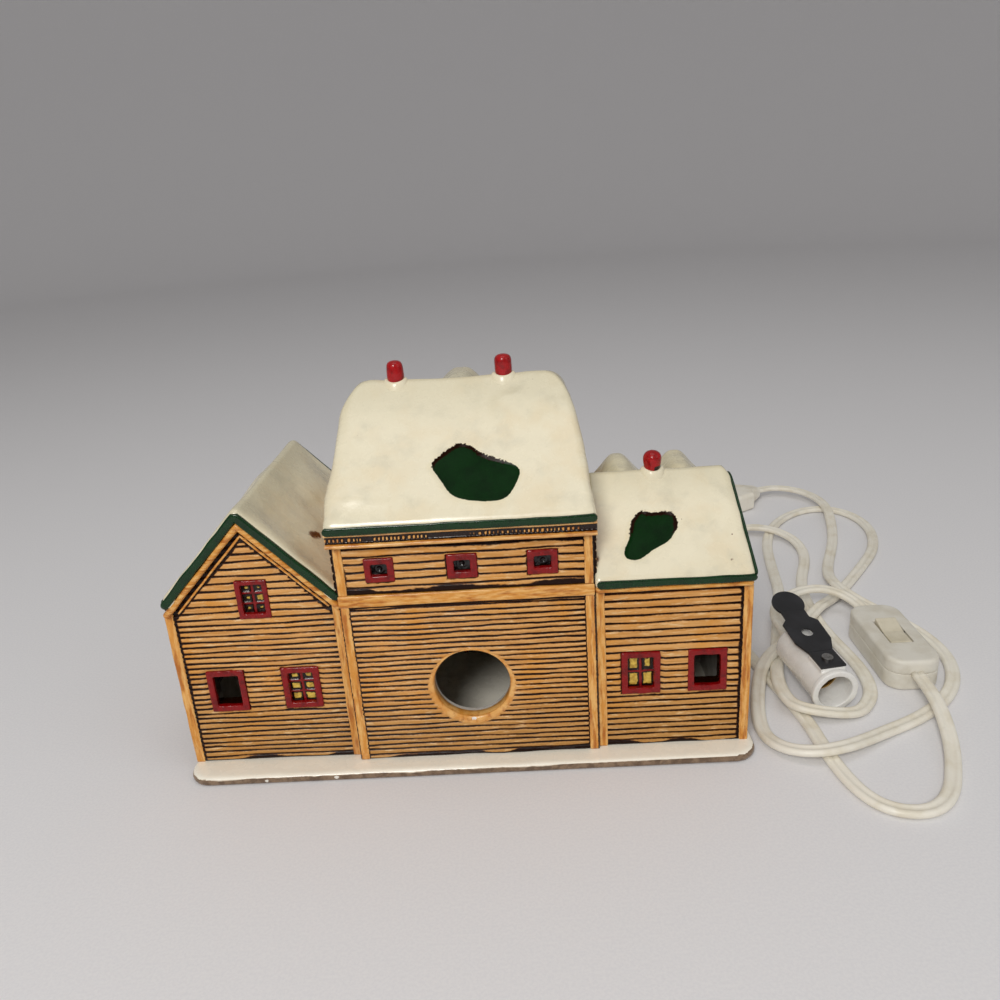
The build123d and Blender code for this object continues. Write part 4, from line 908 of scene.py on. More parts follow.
wall_skins = {
    "left_back_siding": [
        siding(left_back, (LEFT_X, MAIN_X0), GABLED, LEFT_PITCH, 1,
               [low(x) for x in LEFT_WINDOWS] + [(GABLE_WINDOW_X, *GABLE_OPENING)], **LEFT_GABLE)],
    "main_back_siding": [
        siding(main_back, MAIN_BACK_SPAN, LOWER, MAIN_PITCH, 2, hole=(HOLE_X, HOLE_Z, HOLE_R),
               trim=MAIN_TRIM)],
    "upper_back_siding": [
        siding(main_back, MAIN_BACK_SPAN, UPPER, UPPER_PITCH, 3, [small(x) for x in SMALL_WINDOWS],
               trim=(*ENDS, BURY + 0.5, BURY + 1.7))],
    "right_back_siding": [
        siding(right_back, (MAIN_X1, RIGHT_X), WING, RIGHT_PITCH, 4, [low(x) for x in RIGHT_WINDOWS],
               trim=WING_TRIM)],
    "left_front_siding": [
        siding(left_front, (-MAIN_X0, -LEFT_X), GABLED, LEFT_PITCH, 5,
               [low(-x) for x in LEFT_WINDOWS] + [(-GABLE_WINDOW_X, *GABLE_OPENING)], **LEFT_GABLE)],
    "main_front_siding": [
        siding(main_front, MAIN_FRONT_SPAN, LOWER, MAIN_PITCH, 6,
               [low(-x) for x in FRONT_WINDOWS] + [DOOR_OPENING], trim=MAIN_TRIM),
        siding(main_front, MAIN_FRONT_SPAN, UPPER, UPPER_PITCH, 7, [small(-x) for x in SMALL_WINDOWS],
               trim=MAIN_TRIM)],
    "right_front_siding": [
        siding(right_front, (-RIGHT_X, -MAIN_X1), WING, RIGHT_PITCH, 8, [low(-x) for x in RIGHT_WINDOWS],
               trim=WING_TRIM)],
    "left_side_siding": [
        siding(left_side, (-LEFT_FRONT_Y, -LEFT_BACK_Y), SIDE, LEFT_PITCH, 9,
               [low(-y) for y in LEFT_SIDE_WINDOWS], trim=SIDE_TRIM),
        siding(right_face(MAIN_X0), (MAIN_FRONT_Y - BURY, LEFT_FRONT_Y), SIDE, LEFT_PITCH, 10)],
    "right_end_siding": [
        siding(right_side, (RIGHT_BACK_Y, RIGHT_FRONT_Y), SIDE, RIGHT_PITCH, 11,
               [low(y) for y in RIGHT_SIDE_WINDOWS], trim=SIDE_TRIM)],
    "main_side_siding": [
        siding(left_face(MAIN_X0), (-MAIN_FRONT_Y, -BACK_Y), HIGH, UPPER_PITCH, 12),
        siding(right_face(MAIN_X1), (BACK_Y, MAIN_FRONT_Y), HIGH, UPPER_PITCH, 13),
        siding(right_face(MAIN_X1), (RIGHT_FRONT_Y - BURY, MAIN_FRONT_Y), (FOOT, HIGH[0]), MAIN_PITCH, 14)],
    "front_gable_siding": [
        siding(main_front, (-26.6, 21.4), (97.0, 128.0), SMALL_PITCH, 17,
               **gable(-GABLE_X, 104.59, 24.0, 0.9059)),
        siding(panel_face, (-GABLE_X - PANEL_HALF, -GABLE_X + PANEL_HALF), (GABLE_PANEL_Z, 125.5),
               SMALL_PITCH, 20, **gable(-GABLE_X, GABLE_PANEL_Z, PANEL_HALF, 0.906))],
    "dormer_siding": [
        siding(right_front, (-x - DORMER_HALF, -x + DORMER_HALF), (71.5, 94.0), SMALL_PITCH, 18 + k,
               **gable(-x, 84.58, DORMER_HALF, 0.8554))
        for k, x in enumerate(DORMERS_X)],
}
for skin_name, parts in wall_skins.items():
    add_piece(skin_name, parts, SIDING, "clapboard_glaze")


# Snow roofs
def rounded_outline(points, rounds=3):
    """An outline with its corners eased."""
    for _ in range(rounds):
        ahead = np.roll(points, -1, axis=0)
        points = np.stack([0.75 * points + 0.25 * ahead, 0.25 * points + 0.75 * ahead], 1).reshape(-1, 2)
    return points


def signed_distance(places, outline):
    """Distance of each place to an outline, negative inside."""
    a, b = outline, np.roll(outline, -1, axis=0)
    best, inside = np.full(len(places), 1e9), np.zeros(len(places), bool)
    for (ax, ay), (bx, by) in zip(a, b):
        px, py = places[:, 0] - ax, places[:, 1] - ay
        ex, ey = bx - ax, by - ay
        t = np.clip((px * ex + py * ey) / (ex * ex + ey * ey + 1e-12), 0, 1)
        best = np.minimum(best, np.hypot(px - t * ex, py - t * ey))
        crosses = ((ay > places[:, 1]) != (by > places[:, 1])) & (
            places[:, 0] < ex * (places[:, 1] - ay) / (ey + 1e-12) + ax)
        inside ^= crosses
    return np.where(inside, -best, best)


# Bare patches on the back slopes: place along the eave and height, in mm
MAIN_PATCH = [
    (-6.0, 110.8), (-0.3, 114.0), (3.8, 115.9), (7.8, 115.2), (11.1, 112.7), (17.7, 110.8), (21.6, 110.1),
    (24.5, 108.4), (23.3, 105.7), (20.5, 102.1), (17.2, 100.8), (10.7, 100.8), (4.2, 101.6), (0.9, 102.9),
    (-2.4, 107.1),
]
RIGHT_PATCH = [
    (64.8, 88.1), (67.3, 87.0), (75.7, 87.4), (76.8, 84.6), (75.6, 82.1), (72.8, 79.8), (68.2, 78.5),
    (64.8, 76.9), (62.0, 75.8), (58.0, 76.2), (57.7, 78.4), (60.2, 81.3), (61.5, 85.2),
]


def snow_zones(ridge_shade_from, ridge, marks=()):
    """Painted zones of a roof without a patch: duller towards the ridge, partly as painted shade where the
    light falls off towards the top, and brown at the marks.
    """
    def paint(co, normals):
        smear = np.zeros(len(co))
        for x, y, z, size in marks:
            smear += 0.95 * np.exp(-((np.linalg.norm(co - (x, y, z), axis=1) / size) ** 2))
        return {
            "patch": np.full(len(co), FAR), "rim": np.zeros(len(co)), "smear": smear,
            "ridge": np.clip((co[:, 2] - ridge_shade_from) / (ridge - ridge_shade_from), 0, 1)}

    return paint


def patched_roof(patch, eave_z, slant, middle_y, rim_from, zones_of):
    """Painted zones of a roof whose back slope has a bare patch."""
    outline = np.array(patch, float)
    outline[:, 1] = (outline[:, 1] - eave_z) * slant
    outline = rounded_outline(outline)
    rim_level = (rim_from - eave_z) * slant

    def paint(co, normals):
        zones = zones_of(co, normals)
        back = (co[:, 1] < middle_y - 1.0) & (normals[:, 2] > 0.25) & (normals[:, 1] < -0.1)
        places = np.stack([co[back, 0], (co[back, 2] - eave_z) * slant], 1)
        distance = signed_distance(places, outline)
        zones["patch"][back] = np.clip(distance, -FAR, FAR)
        upper = smooth_step(rim_level - 2.5, rim_level + 1.5, places[:, 1])
        zones["rim"][back] = np.exp(-((distance + 0.1) / 0.75) ** 2) * upper
        return zones

    return paint


def melt_edge(co, normals, zones):
    """The snow stands over the bare patch with a soft lip."""
    d = zones["patch"]
    return -0.4 * smooth_step(0.6, -0.7, d) + 0.12 * np.exp(-(((d - 1.3) / 1.1) ** 2))


def round_corners(x_low, x_high, lean_low, lean_high, foot, ridge, across, down):
    """Ease the corners where the ridge meets the leaning ends of a roof."""
    def warp(co):
        out = co.copy()
        for limit, lean, sign in ((x_low, lean_low, 1), (x_high, lean_high, -1)):
            end = limit + sign * lean * (out[:, 2] - foot) / (ridge - foot)
            inward, under = sign * (out[:, 0] - end), ridge - out[:, 2]
            a, b = 1 - inward / across, 1 - under / down
            reach = np.hypot(a, b)
            touched = (a > 0) & (b > 0) & (reach > 1)
            scale = np.where(touched, 1 / np.maximum(reach, 1e-6), 1.0)
            new_z = np.where(touched, ridge - down * (1 - b * scale), out[:, 2])
            new_end = limit + sign * lean * (new_z - foot) / (ridge - foot)
            out[:, 0] = np.where(touched, new_end + sign * across * (1 - a * scale), out[:, 0])
            out[:, 2] = new_z
        return out

    return warp


FAR_AWAY = 1000.0
POTS = ((-18.0, MAIN_MID_Y), (20.2, MAIN_MID_Y), (71.0, RIGHT_MID_Y))


def calm_edges(low, high, ridge, ends=(-FAR_AWAY, FAR_AWAY)):
    """Hardly any lumps near the eaves, the ridge, a gable's ends and the chimney pots."""
    def share(co):
        free = smooth_step(low, high, co[:, 2]) * (1 - 0.7 * smooth_step(ridge - 9.0, ridge - 2.0, co[:, 2]))
        free = free * smooth_step(0.0, 8.0, np.minimum(co[:, 1] - ends[0], ends[1] - co[:, 1]))
        for x, y in POTS:
            free = free * smooth_step(3.0, 9.0, np.hypot(co[:, 0] - x, co[:, 1] - y))
        return 0.1 + 0.9 * free

    return share


MAIN_LUMPS = ((26.0, 1.7, 21), (11.0, 0.6, 22), (5.0, 0.1, 23))
WING_LUMPS = ((22.0, 1.3, 31), (10.0, 0.45, 32), (5.0, 0.1, 33))
SMALL_LUMPS = ((12.0, 0.5, 41), (5.0, 0.15, 42))
# Brown marks on the left roof beside the main wall: place in mm and size
LEFT_BROWN_MARKS = ((-51.5, -17.4, 83.6, 2.6), (-50.4, -14.2, 82.5, 2.0))
RIGHT_SMEARS = (
    (93.0, -39.0, 74.6, 0.7), (48.4, -36.5, 76.4, 1.5), (48.3, -31.0, 81.2, 1.3), (48.3, -25.0, 86.4, 1.2))


def steeper(co):
    """Raise the left roof towards its ridge."""
    foot = WING_TOP + ROOF_EDGE
    out = co.copy()
    out[:, 2] += (LEFT_STEEPER - 1) * np.maximum(0, out[:, 2] - foot)
    return out


def rounded_ridge(middles, slope, radius, lift, foot, top, near, far, front, eave):
    """Turn tent-shaped snow with ridges along Y into rounded heaps, from near to far beside each ridge.

    The back edge is bedded into the roof behind, which rises from eave, its (y, z), with the same slope.
    """
    def warp(co):
        out = co.copy()
        across = np.min([np.abs(co[:, 0] - x) for x in middles], axis=0)
        over = (co[:, 2] - eave[1] - slope * (eave[0] - co[:, 1])) / math.hypot(1.0, slope)
        share = smooth_step(foot, top, co[:, 2]) * smooth_step(0.5, 6.0, over)
        share = share * (1 - smooth_step(near, far, across))
        out[:, 2] += share * (slope * (across - np.hypot(across, radius)) + lift)
        behind = 1 - smooth_step(front - 9.0, front - 5.0, co[:, 1])
        out[:, 2] -= 3.6 * behind * (1 - smooth_step(0.0, 4.0, over))
        return out

    return warp


def sunk_back(front):
    """Lower the back of a small wall, which its snow covers."""
    def warp(co):
        out = co.copy()
        out[:, 2] -= 3.4 * (1 - smooth_step(front - 12.0, front - 7.0, co[:, 1]))
        return out

    return warp


def flat_front(front):
    """No lumps on the front face of a gable."""
    return lambda co: 1 - smooth_step(front - 4.0, front - 1.0, co[:, 1])


soft_piece(
    "main_snow", "main_roof", 0.8, 8, ROOF, MAIN_LUMPS, melt_edge,
    patched_roof(MAIN_PATCH, MAIN_EAVE_Z, 1.4896, MAIN_MID_Y, 110.3, snow_zones(112.0, 134.0)),
    round_corners(-41.4, 48.4, 6.0, 6.0, 97.0, MAIN_RIDGE_Z, 7.0, 13.0),
    calm_edges(97.0, 104.0, MAIN_RIDGE_Z), BARE_ROOF)
soft_piece(
    "left_snow", "left_roof", 0.65, 5, ROOF, WING_LUMPS, None,
    snow_zones(86.0, 103.0, LEFT_BROWN_MARKS), steeper, calm_edges(72.0, 79.0, 103.0, (-40.3, 43.2)))
soft_piece(
    "right_snow", "right_roof", 0.7, 7, ROOF, WING_LUMPS, melt_edge,
    patched_roof(RIGHT_PATCH, WING_EAVE_Z, 1.5385, RIGHT_MID_Y, 82.5, snow_zones(84.0, 99.0, RIGHT_SMEARS)),
    round_corners(40.0, 100.9, 0.0, 3.0, 71.0, RIGHT_RIDGE_Z, 4.5, 6.0),
    calm_edges(72.0, 79.0, RIGHT_RIDGE_Z), BARE_ROOF)
soft_piece(
    "gable_snow", "front_gable_roof", 0.8, 45, ROOF, SMALL_LUMPS, None,
    snow_zones(104.0, 130.0),
    rounded_ridge([GABLE_X], 0.906, 5.0, 4.2, 107.0, 115.0, 3.0, 13.0, GABLE_FRONT_Y, (40.2, MAIN_EAVE_Z)),
    flat_front(GABLE_FRONT_Y), ease=16)
soft_piece(
    "dormer_snow", "dormer_roofs", 0.6, 45, ROOF, SMALL_LUMPS, None, snow_zones(80.0, 94.0),
    rounded_ridge(DORMERS_X, 0.8554, 3.0, 2.6, 84.0, 88.0, 2.0, 8.0, DORMER_FRONT_Y, (22.2, WING_EAVE_Z)),
    flat_front(DORMER_FRONT_Y), ease=16)
for name, source, front in (
    ("gable_wall_block", "front_gable_wall", MAIN_FRONT_Y),
    ("dormer_wall_blocks", "dormer_walls", RIGHT_FRONT_Y),
):
    soft_piece(name, source, 0.5, 1, TRIM, warp=sunk_back(front))

# Chimney pots
POT_PROFILE = (
    (2.8, -3.4), (2.85, 0.0), (2.95, 0.5), (3.0, 1.6), (2.98, 3.2), (2.95, 4.6), (2.8, 5.5), (2.4, 6.2),
    (1.7, 6.65), (0.8, 6.85), (0.25, 6.9))
BALL_PROFILE = (
    (2.9, -2.6), (2.95, 0.0), (3.1, 0.8), (3.25, 1.8), (3.3, 2.8), (3.15, 3.8), (2.7, 4.6), (2.0, 5.2),
    (1.0, 5.6), (0.25, 5.7))
for pot_name, (x, y), foot, profile, shadow in (
    ("chimney_pot_left", POTS[0], 134.55, POT_PROFILE, 0.0),
    ("chimney_pot_middle", POTS[1], 134.55, POT_PROFILE, 0.0),
    ("chimney_pot_right", POTS[2], 99.7, BALL_PROFILE, 1.0),
):
    verts, faces, _ = capped(lathe((x, y, foot), UP, profile, 32, 0.14, 60))
    # Painted shadow: a dark spot on the right side of the right pot's foot
    spot = smooth_step(-0.4, 1.0, verts[:, 0] - x) * (1 - smooth_step(foot + 0.2, foot + 1.1, verts[:, 2]))
    pot = (verts, faces, {"painted_shade": shadow * spot})
    add_piece("painted_" + pot_name, [pot], POT_PAINT, "red_glaze", pot_name)

# Low rings of snow round the pots, draped over the ridges: radius and height above the roof
COLLAR_RINGS = ((4.9, -1.2), (4.6, -0.4), (4.3, 0.25), (4.0, 0.75), (3.7, 1.1), (3.35, 1.25), (2.4, 0.8))
collars = []
for (x, y), ridge, slope in zip(POTS, (134.05, 134.05, 98.4), (0.906, 0.906, 0.855)):
    profile = [(radius, -ridge - lift) for radius, lift in COLLAR_RINGS]
    verts, faces, _ = capped(lathe((x, y, 0.0), (0, 0, -1), profile, 36, 0.3, 61))
    drape = np.interp(np.hypot(verts[:, 0] - x, verts[:, 1] - y), (3.2, 4.8), (0.4, 1.0))
    verts[:, 2] -= drape * slope * (np.hypot(verts[:, 1] - y, 1.2) - 1.2)
    collars.append((verts, faces, {}))
add_piece("pot_collars", collars, SNOW, "snow_glaze", "snow_collars")

# Snow base over a bare clay foot
CHIPS = ((-73.3, -48.4, 1.5, 0.9), (-48.0, -48.4, 1.6, 1.1), (31.0, 48.4, 1.4, 0.9))


def base_zones(co, normals):
    chip = np.zeros(len(co))
    for x, y, z, size in CHIPS:
        chip += np.exp(-((np.linalg.norm((co - (x, y, z)) * (1, 1, 1.3), axis=1) / size) ** 2))
    worn = 1.1 * smooth_step(84.0, 99.0, co[:, 0]) * smooth_step(-20.0, -44.0, co[:, 1])
    level = np.where(normals[:, 2] > 0.85, FAR, co[:, 2] + 0.3 * soft_noise(co, 11.0, 71) - worn)
    return {"level": level, "chip": chip}


def flat_foot(co, normals, zones):
    """The underside stays flat; the sides and top are a little uneven."""
    free = smooth_step(0.3, 1.4, co[:, 2])
    return free * (0.22 * soft_noise(co, 14.0, 72) + 0.08 * soft_noise(co, 5.0, 73))


soft_piece("snow_base", "base_slab", 0.7, 2, BASE, (), flat_foot, base_zones)
soft_piece("snow_step", "front_step", 0.45, 3, SNOW, ((5.0, 0.15, 74),))


# Painted trim
def post_stain(co, normals):
    """Dark lines where two posts meet, and at their feet."""
    inner = np.minimum(np.abs(co[:, 0] - MAIN_X0), np.abs(co[:, 0] - MAIN_X1))
    foot = np.abs(co[:, 2] - FLOOR_Z)
    return {"stain": np.maximum(np.exp(-((inner / 0.45) ** 2)), 0.45 * np.exp(-foot / 0.8))}


soft_piece("posts", "corner_posts", 0.34, 3, POST, ((6.0, 0.12, 81),), None, post_stain)
soft_piece("storey_beams", "beams", 0.4, 3, TRIM, ((9.0, 0.15, 82),))
STRIP_SINK = 0.7


def moulding(path, normal, width, proud, seed, wobble=0.14):
    """A rounded strip along a path on a face, with rounded ends."""
    path, normal = np.array(path, float), np.array(normal, float)
    run = np.concatenate([[0], np.cumsum(np.linalg.norm(np.diff(path, axis=0), axis=1))])
    total, half = run[-1], 0.5 * width
    at = np.linspace(0, total, max(4, int(total / 1.3)))
    near_end = np.array((0.15, 0.4)) * width
    at = np.unique(np.concatenate([at, near_end, total - near_end]))
    points = np.stack([np.interp(at, run, path[:, k]) for k in range(3)], 1)
    side = unit(np.cross(normal, unit(np.gradient(points, axis=0))))
    angles = np.radians(np.linspace(0, 180, 11))
    wide = half * np.sign(np.cos(angles)) * np.abs(np.cos(angles)) ** 0.7
    section = np.stack([wide, proud * np.sin(angles) ** 0.6], 1)
    section = np.concatenate([section, [(-half, -STRIP_SINK), (half, -STRIP_SINK)]])
    from_end = np.minimum(at, total - at) / half
    scale = np.where(from_end < 1, np.sqrt(np.maximum(0.09, 1 - (1 - from_end) ** 2)), 1.0)[:, None]
    drift = wobble * soft_noise(points, 9.0, seed)[:, None]
    swell = 1 + 0.12 * soft_noise(points, 6.0, seed + 1)[:, None]
    across = section[:, 0] * scale * swell + drift
    outward = np.where(section[:, 1] > 0, section[:, 1] * scale, section[:, 1])
    return tube(points[:, None] + across[..., None] * side[:, None] + outward[..., None] * normal)


# Green edges of the roofs, and the boards under the left gables
def slope_line(drop, reach, y):
    """A line over the left roof's gable, a distance under the snow's top face."""
    slope = LEFT_RISE / LEFT_HALF
    peak = WING_TOP + ROOF_EDGE + LEFT_RISE - drop * math.hypot(1, slope)
    foot = peak - slope * reach
    return [(LEFT_MID_X - reach, y, foot), (LEFT_MID_X, y, peak), (LEFT_MID_X + reach, y, foot)]


green_parts = [
    moulding([(-41.2, -44.75, 94.85), (48.2, -44.75, 94.85)], BACK, 2.7, 0.55, 91),
    moulding([(48.2, 40.15, 94.85), (-41.2, 40.15, 94.85)], FRONT, 2.7, 0.55, 92),
    moulding([(47.6, -42.75, 69.6), (100.7, -42.75, 69.6)], BACK, 2.7, 0.55, 93),
    moulding([(100.7, 22.15, 69.6), (47.6, 22.15, 69.6)], FRONT, 2.7, 0.55, 94),
    moulding([(-101.0, 42.8, 69.6), (-101.0, -39.9, 69.6)], LEFT, 2.6, 0.5, 95),
]
rake_parts = []
for face_y, normal, seed in ((-40.25, BACK, 101), (43.15, FRONT, 111)):
    wall_y = LEFT_BACK_Y if face_y < 0 else LEFT_FRONT_Y
    green_parts.append(moulding(slope_line(2.1, 30.4, face_y), normal, 3.0, 0.7, seed))
    rake_parts.append(moulding(slope_line(4.6, 30.9, wall_y), normal, 2.5, 3.35, seed + 3))
    rake_parts.append(moulding(slope_line(7.5, 26.4, wall_y), normal, 0.9, 1.2, seed + 6))
panel_foot, panel_y = GABLE_PANEL_Z - 0.2, GABLE_FRONT_Y + 0.3
panel_line = [(GABLE_X + x, panel_y, z) for x, z in ((-20.7, panel_foot), (0.0, 125.2), (20.7, panel_foot))]
rake_parts.append(moulding(panel_line, FRONT, 1.9, 1.5, 117))
rake_parts.append(moulding([panel_line[0], panel_line[2]], FRONT, 1.7, 1.4, 118))
END_LEAN = 3.0 / 31.0
end_arch = ((-31.6, 0.0), (-5.2, 22.2), (-2.4, 23.8), (0.0, 24.2), (2.4, 23.8), (5.2, 22.2), (31.6, 0.0))
end_line = [
    (100.78 - END_LEAN * height, RIGHT_MID_Y + across, 70.2 + height) for across, height in end_arch]
green_parts.append(moulding(end_line, unit(np.array((1.0, 0.0, END_LEAN))), 2.6, 0.45, 121))
add_piece("green_edges", green_parts, GREEN_PAINT, "green_glaze")
add_piece("rake_trim", rake_parts, TRIM, "trim_glaze", "rake_boards")

# Eave fascias: a bead under a cove with small dentils
FASCIA_ROWS = (
    (0.0, 0.3, 1.0), (0.1, 2.2, 0.6), (0.3, 3.3, 0.05), (0.65, 3.85, 0.0), (1.1, 4.0, 0.0), (1.55, 3.8, 0.0),
    (1.8, 3.3, 0.2), (1.95, 2.6, 0.9), (2.1, 2.3, 1.0), (2.7, 2.25, 1.0), (3.3, 2.25, 1.0), (3.95, 2.3, 1.0),
    (4.25, 2.4, 1.0), (4.45, 2.9, 0.6), (4.6, 3.7, 0.0), (4.95, 4.0, 0.0), (5.5, 3.9, 0.0))


def fascia(face, u0, u1, foot, seed):
    """The main eave's moulding along a face."""
    lines = np.linspace(u0, u1, int((u1 - u0) / 0.3))
    rows, heights, stain = (np.array(a, float)[:, None] for a in zip(*FASCIA_ROWS))
    u = np.broadcast_to(lines[None, :], (len(rows), len(lines)))
    along = places(u, 0.0, seed * 5.0)
    z = foot + rows + 0.16 * soft_noise(along, 14.0, seed)
    cut = 0.5 + 0.5 * np.cos(2 * math.pi * u / 1.45 + 3.6 * soft_noise(along, 4.0, seed + 1))
    worn = soft_noise(along, 15.0, seed + 2) + 0.35 * soft_noise(along, 3.0, seed + 4)
    shows = smooth_step(-0.55, 0.25, worn)
    tooth = np.where((rows > 2.2) & (rows < 3.5), smooth_step(0.3, 0.8, cut) * shows, 0.0)
    h = heights + 0.7 * tooth + 0.1 * soft_noise(along, 6.0, seed + 3)
    return slab(face.points(u, z, h), face.points(u, z, -0.4), {"stain": stain * (1 - 0.85 * tooth)})


def wing_fascia(face, u0, u1, foot, seed):
    line = [face.points(u0, foot, 0.0), face.points(u1, foot, 0.0)]
    verts, faces, _ = moulding(line, face.normal, 2.2, 3.5, seed, wobble=0.08)
    return verts, faces, {"stain": np.zeros(len(verts))}


MAIN_OVER, WING_OVER, MAIN_FASCIA_Z, WING_FASCIA_Z = 1.2, 0.9, MAIN_POST_TOP - 1.0, 67.0
add_piece("eave_trim", [
    fascia(main_back, MAIN_X0 - MAIN_OVER, MAIN_X1 + MAIN_OVER, MAIN_FASCIA_Z, 131),
    fascia(main_front, -MAIN_X1 - MAIN_OVER, -MAIN_X0 + MAIN_OVER, MAIN_FASCIA_Z, 132),
    wing_fascia(right_back, MAIN_X1, RIGHT_X + WING_OVER, WING_FASCIA_Z, 133),
    wing_fascia(right_front, -RIGHT_X - WING_OVER, -MAIN_X1, WING_FASCIA_Z, 134),
], TRIM, "trim_glaze", "eave_fascias")

# Lamp hole's smooth glazed lip, which spreads unevenly outside its edge
LIP_EDGE = 13.7
LIP_PROFILE = (
    (13.49, -3.4), (13.42, -3.3), (13.4, -1.6), (13.44, -0.4), (13.65, 0.35), (14.2, 0.66), (15.2, 0.74),
    (16.2, 0.7), (17.0, 0.6), (17.7, 0.35), (17.4, -0.45), (14.2, -0.45), (13.6, -0.6))
lip_rings = lathe((HOLE_X, BACK_Y, HOLE_Z), BACK, LIP_PROFILE, 96)
lip_faces = ring_faces(*lip_rings.shape[:2], loop=True)
lip_verts = lip_rings.reshape(-1, 3)
spokes = lip_verts - (HOLE_X, 0, HOLE_Z)
lip_radius = np.hypot(spokes[:, 0], spokes[:, 2])
lip_reach = 0.2 + 0.55 * hole_weight(spokes[:, 0], spokes[:, 2])
lip_reach += 0.2 * soft_noise(spokes * (1, 0, 1), 6.0, 141)
spread = np.where(lip_radius > LIP_EDGE, (LIP_EDGE + (lip_radius - LIP_EDGE) * lip_reach) / lip_radius, 1.0)
lip_verts[:, 0] = HOLE_X + spokes[:, 0] * spread
lip_verts[:, 2] = HOLE_Z + spokes[:, 2] * spread
chip_place = (HOLE_X - 0.4, BACK_Y - 0.4, HOLE_Z - 14.3)
chip_away = np.linalg.norm((lip_verts - chip_place) * (0.7, 1, 1.2), axis=1)
lip_parts = [(lip_verts, lip_faces, {"chip": np.exp(-((chip_away / 0.9) ** 2))})]
add_piece("lamp_hole_lip", lip_parts, lip_material(), "clapboard_glaze")


# Windows: thick red frames, and panes with yellow daubs between red bars
def depth_shade_zones(name):
    """How much painted shade darkens a window frame behind the outer face of its wall."""
    def paint(co, normals):
        x, y = co[:, 0], co[:, 1]
        left, right = x < MAIN_X0, x > MAIN_X1
        if name.startswith("front"):
            depth = np.where(left, LEFT_FRONT_Y, np.where(right, RIGHT_FRONT_Y, MAIN_FRONT_Y)) - y
        elif name.startswith("side"):
            depth = np.where(x < 0, x - LEFT_X, RIGHT_X - x)
        else:
            depth = y - np.where(left, LEFT_BACK_Y, np.where(right, RIGHT_BACK_Y, BACK_Y))
        return {"painted_shade": smooth_step(0.2, 1.2, depth)}

    return paint


def thicker(co, normals, zones):
    return np.full(len(co), 0.12)


for node_name in sorted(nodes):
    if node_name.endswith(("window_frame", "window_frames")):
        soft_piece(
            "painted_" + node_name, node_name, 0.3, 5, RED_PAINT,
            ((3.0, 0.12, 151), (1.2, 0.04, 152)), thicker, depth_shade_zones(node_name))
PANE_OVERLAP, PANE_DEPTH, PANE_STEP = 0.25, 3.2, 0.34


def window_shade_sheet(u, seed):
    """A black glazed sheet with a dimple in it, set in a small open window as painted shade of its dark
    inside.
    """
    half_w, half_h = (size / 2 - LOW_BORDER + PANE_OVERLAP for size in (SMALL_W, SMALL_H))
    du, dz = np.meshgrid(np.linspace(-half_w, half_w, 25), np.linspace(-half_h, half_h, 21))
    u, z = du + u, dz + SMALL_Z
    place = places(u, z, seed * 13.0)
    centre = 0.35 * lattice(np.array([seed, seed + 1]), np.array([3, 5]), np.array([1, 2]), seed)
    away = np.hypot(du - centre[0], dz - centre[1])
    height = -1.5 + 0.22 * np.exp(-(((away - 1.25) / 0.45) ** 2)) - 0.35 * np.exp(-((away / 0.8) ** 2))
    height = height + 0.2 * soft_noise(place, 2.6, seed)
    return slab(main_back.points(u, z, height), main_back.points(u, z, -PANE_DEPTH), {})


# Black sheets in the small open windows stand in for the shade inside them
shade_sheets = [window_shade_sheet(x, 200 + k) for k, x in enumerate(SMALL_WINDOWS)]
add_piece("window_shade_sheets", shade_sheets, shade_sheet_material(), "pane_glaze")


def sash(face, u, z, w, h, border, columns, rows, seed, dimmed=()):
    """One painted window: a sunk dark ground, daubs and bars, as a relief."""
    half_w, half_h = (size / 2 - border + PANE_OVERLAP for size in (w, h))
    us = np.linspace(-half_w, half_w, int(2 * half_w / PANE_STEP))
    zs = np.linspace(-half_h, half_h, int(2 * half_h / PANE_STEP))
    du, dz = np.meshgrid(us, zs)
    place = places(du + u, dz + z, seed * 13.0)
    du = du + 0.12 * soft_noise(place, 2.5, seed)
    dz = dz + 0.12 * soft_noise(place, 2.5, seed + 1)
    pane_w, pane_h = 2 * half_w / columns, 2 * half_h / rows
    bar = np.zeros(du.shape)
    for k in range(1, columns):
        bar = np.maximum(bar, 1 - np.abs(du + half_w - k * pane_w) / 0.85)
    for k in range(1, rows):
        bar = np.maximum(bar, 1 - np.abs(dz + half_h - k * pane_h) / 0.75)
    column = np.clip(((du + half_w) / pane_w).astype(int), 0, columns - 1)
    row = np.clip(((dz + half_h) / pane_h).astype(int), 0, rows - 1)
    in_u = pane_w / 2 - np.abs(du + half_w - (column + 0.5) * pane_w)
    in_z = pane_h / 2 - np.abs(dz + half_h - (row + 0.5) * pane_h)
    size = 0.1 * lattice(column + 7, row + 3, 0, seed)
    thin = np.isin(column * 10 + row, np.array([c * 10 + r for c, r in dimmed] or [-1]))
    daub = np.minimum(in_u, in_z) - 0.8 - size - np.where(thin, 0.55, 0.0)
    rounding = np.hypot(np.minimum(in_u - 1.3, 0), np.minimum(in_z - 1.3, 0))
    daub = np.minimum(daub, 0.85 - rounding) + 0.2 * soft_noise(place, 1.4, seed + 2)
    bar = np.clip(bar, 0, 1)
    height = -1.2 + 0.6 * smooth_step(0.0, 0.7, bar) + 0.28 * smooth_step(-0.1, 0.6, daub)
    u, z = np.meshgrid(us + u, zs + z)
    return slab(face.points(u, z, height), face.points(u, z, -PANE_DEPTH), {"bar": bar, "daub": daub})


def low_sash(face, u, columns, rows, seed, dimmed=()):
    return sash(face, *low(u), LOW_BORDER, columns, rows, seed, dimmed)


def gable_sash(face, u, seed, dimmed=()):
    return sash(face, u, *GABLE_OPENING, GABLE_BORDER, 2, 3, seed, dimmed)


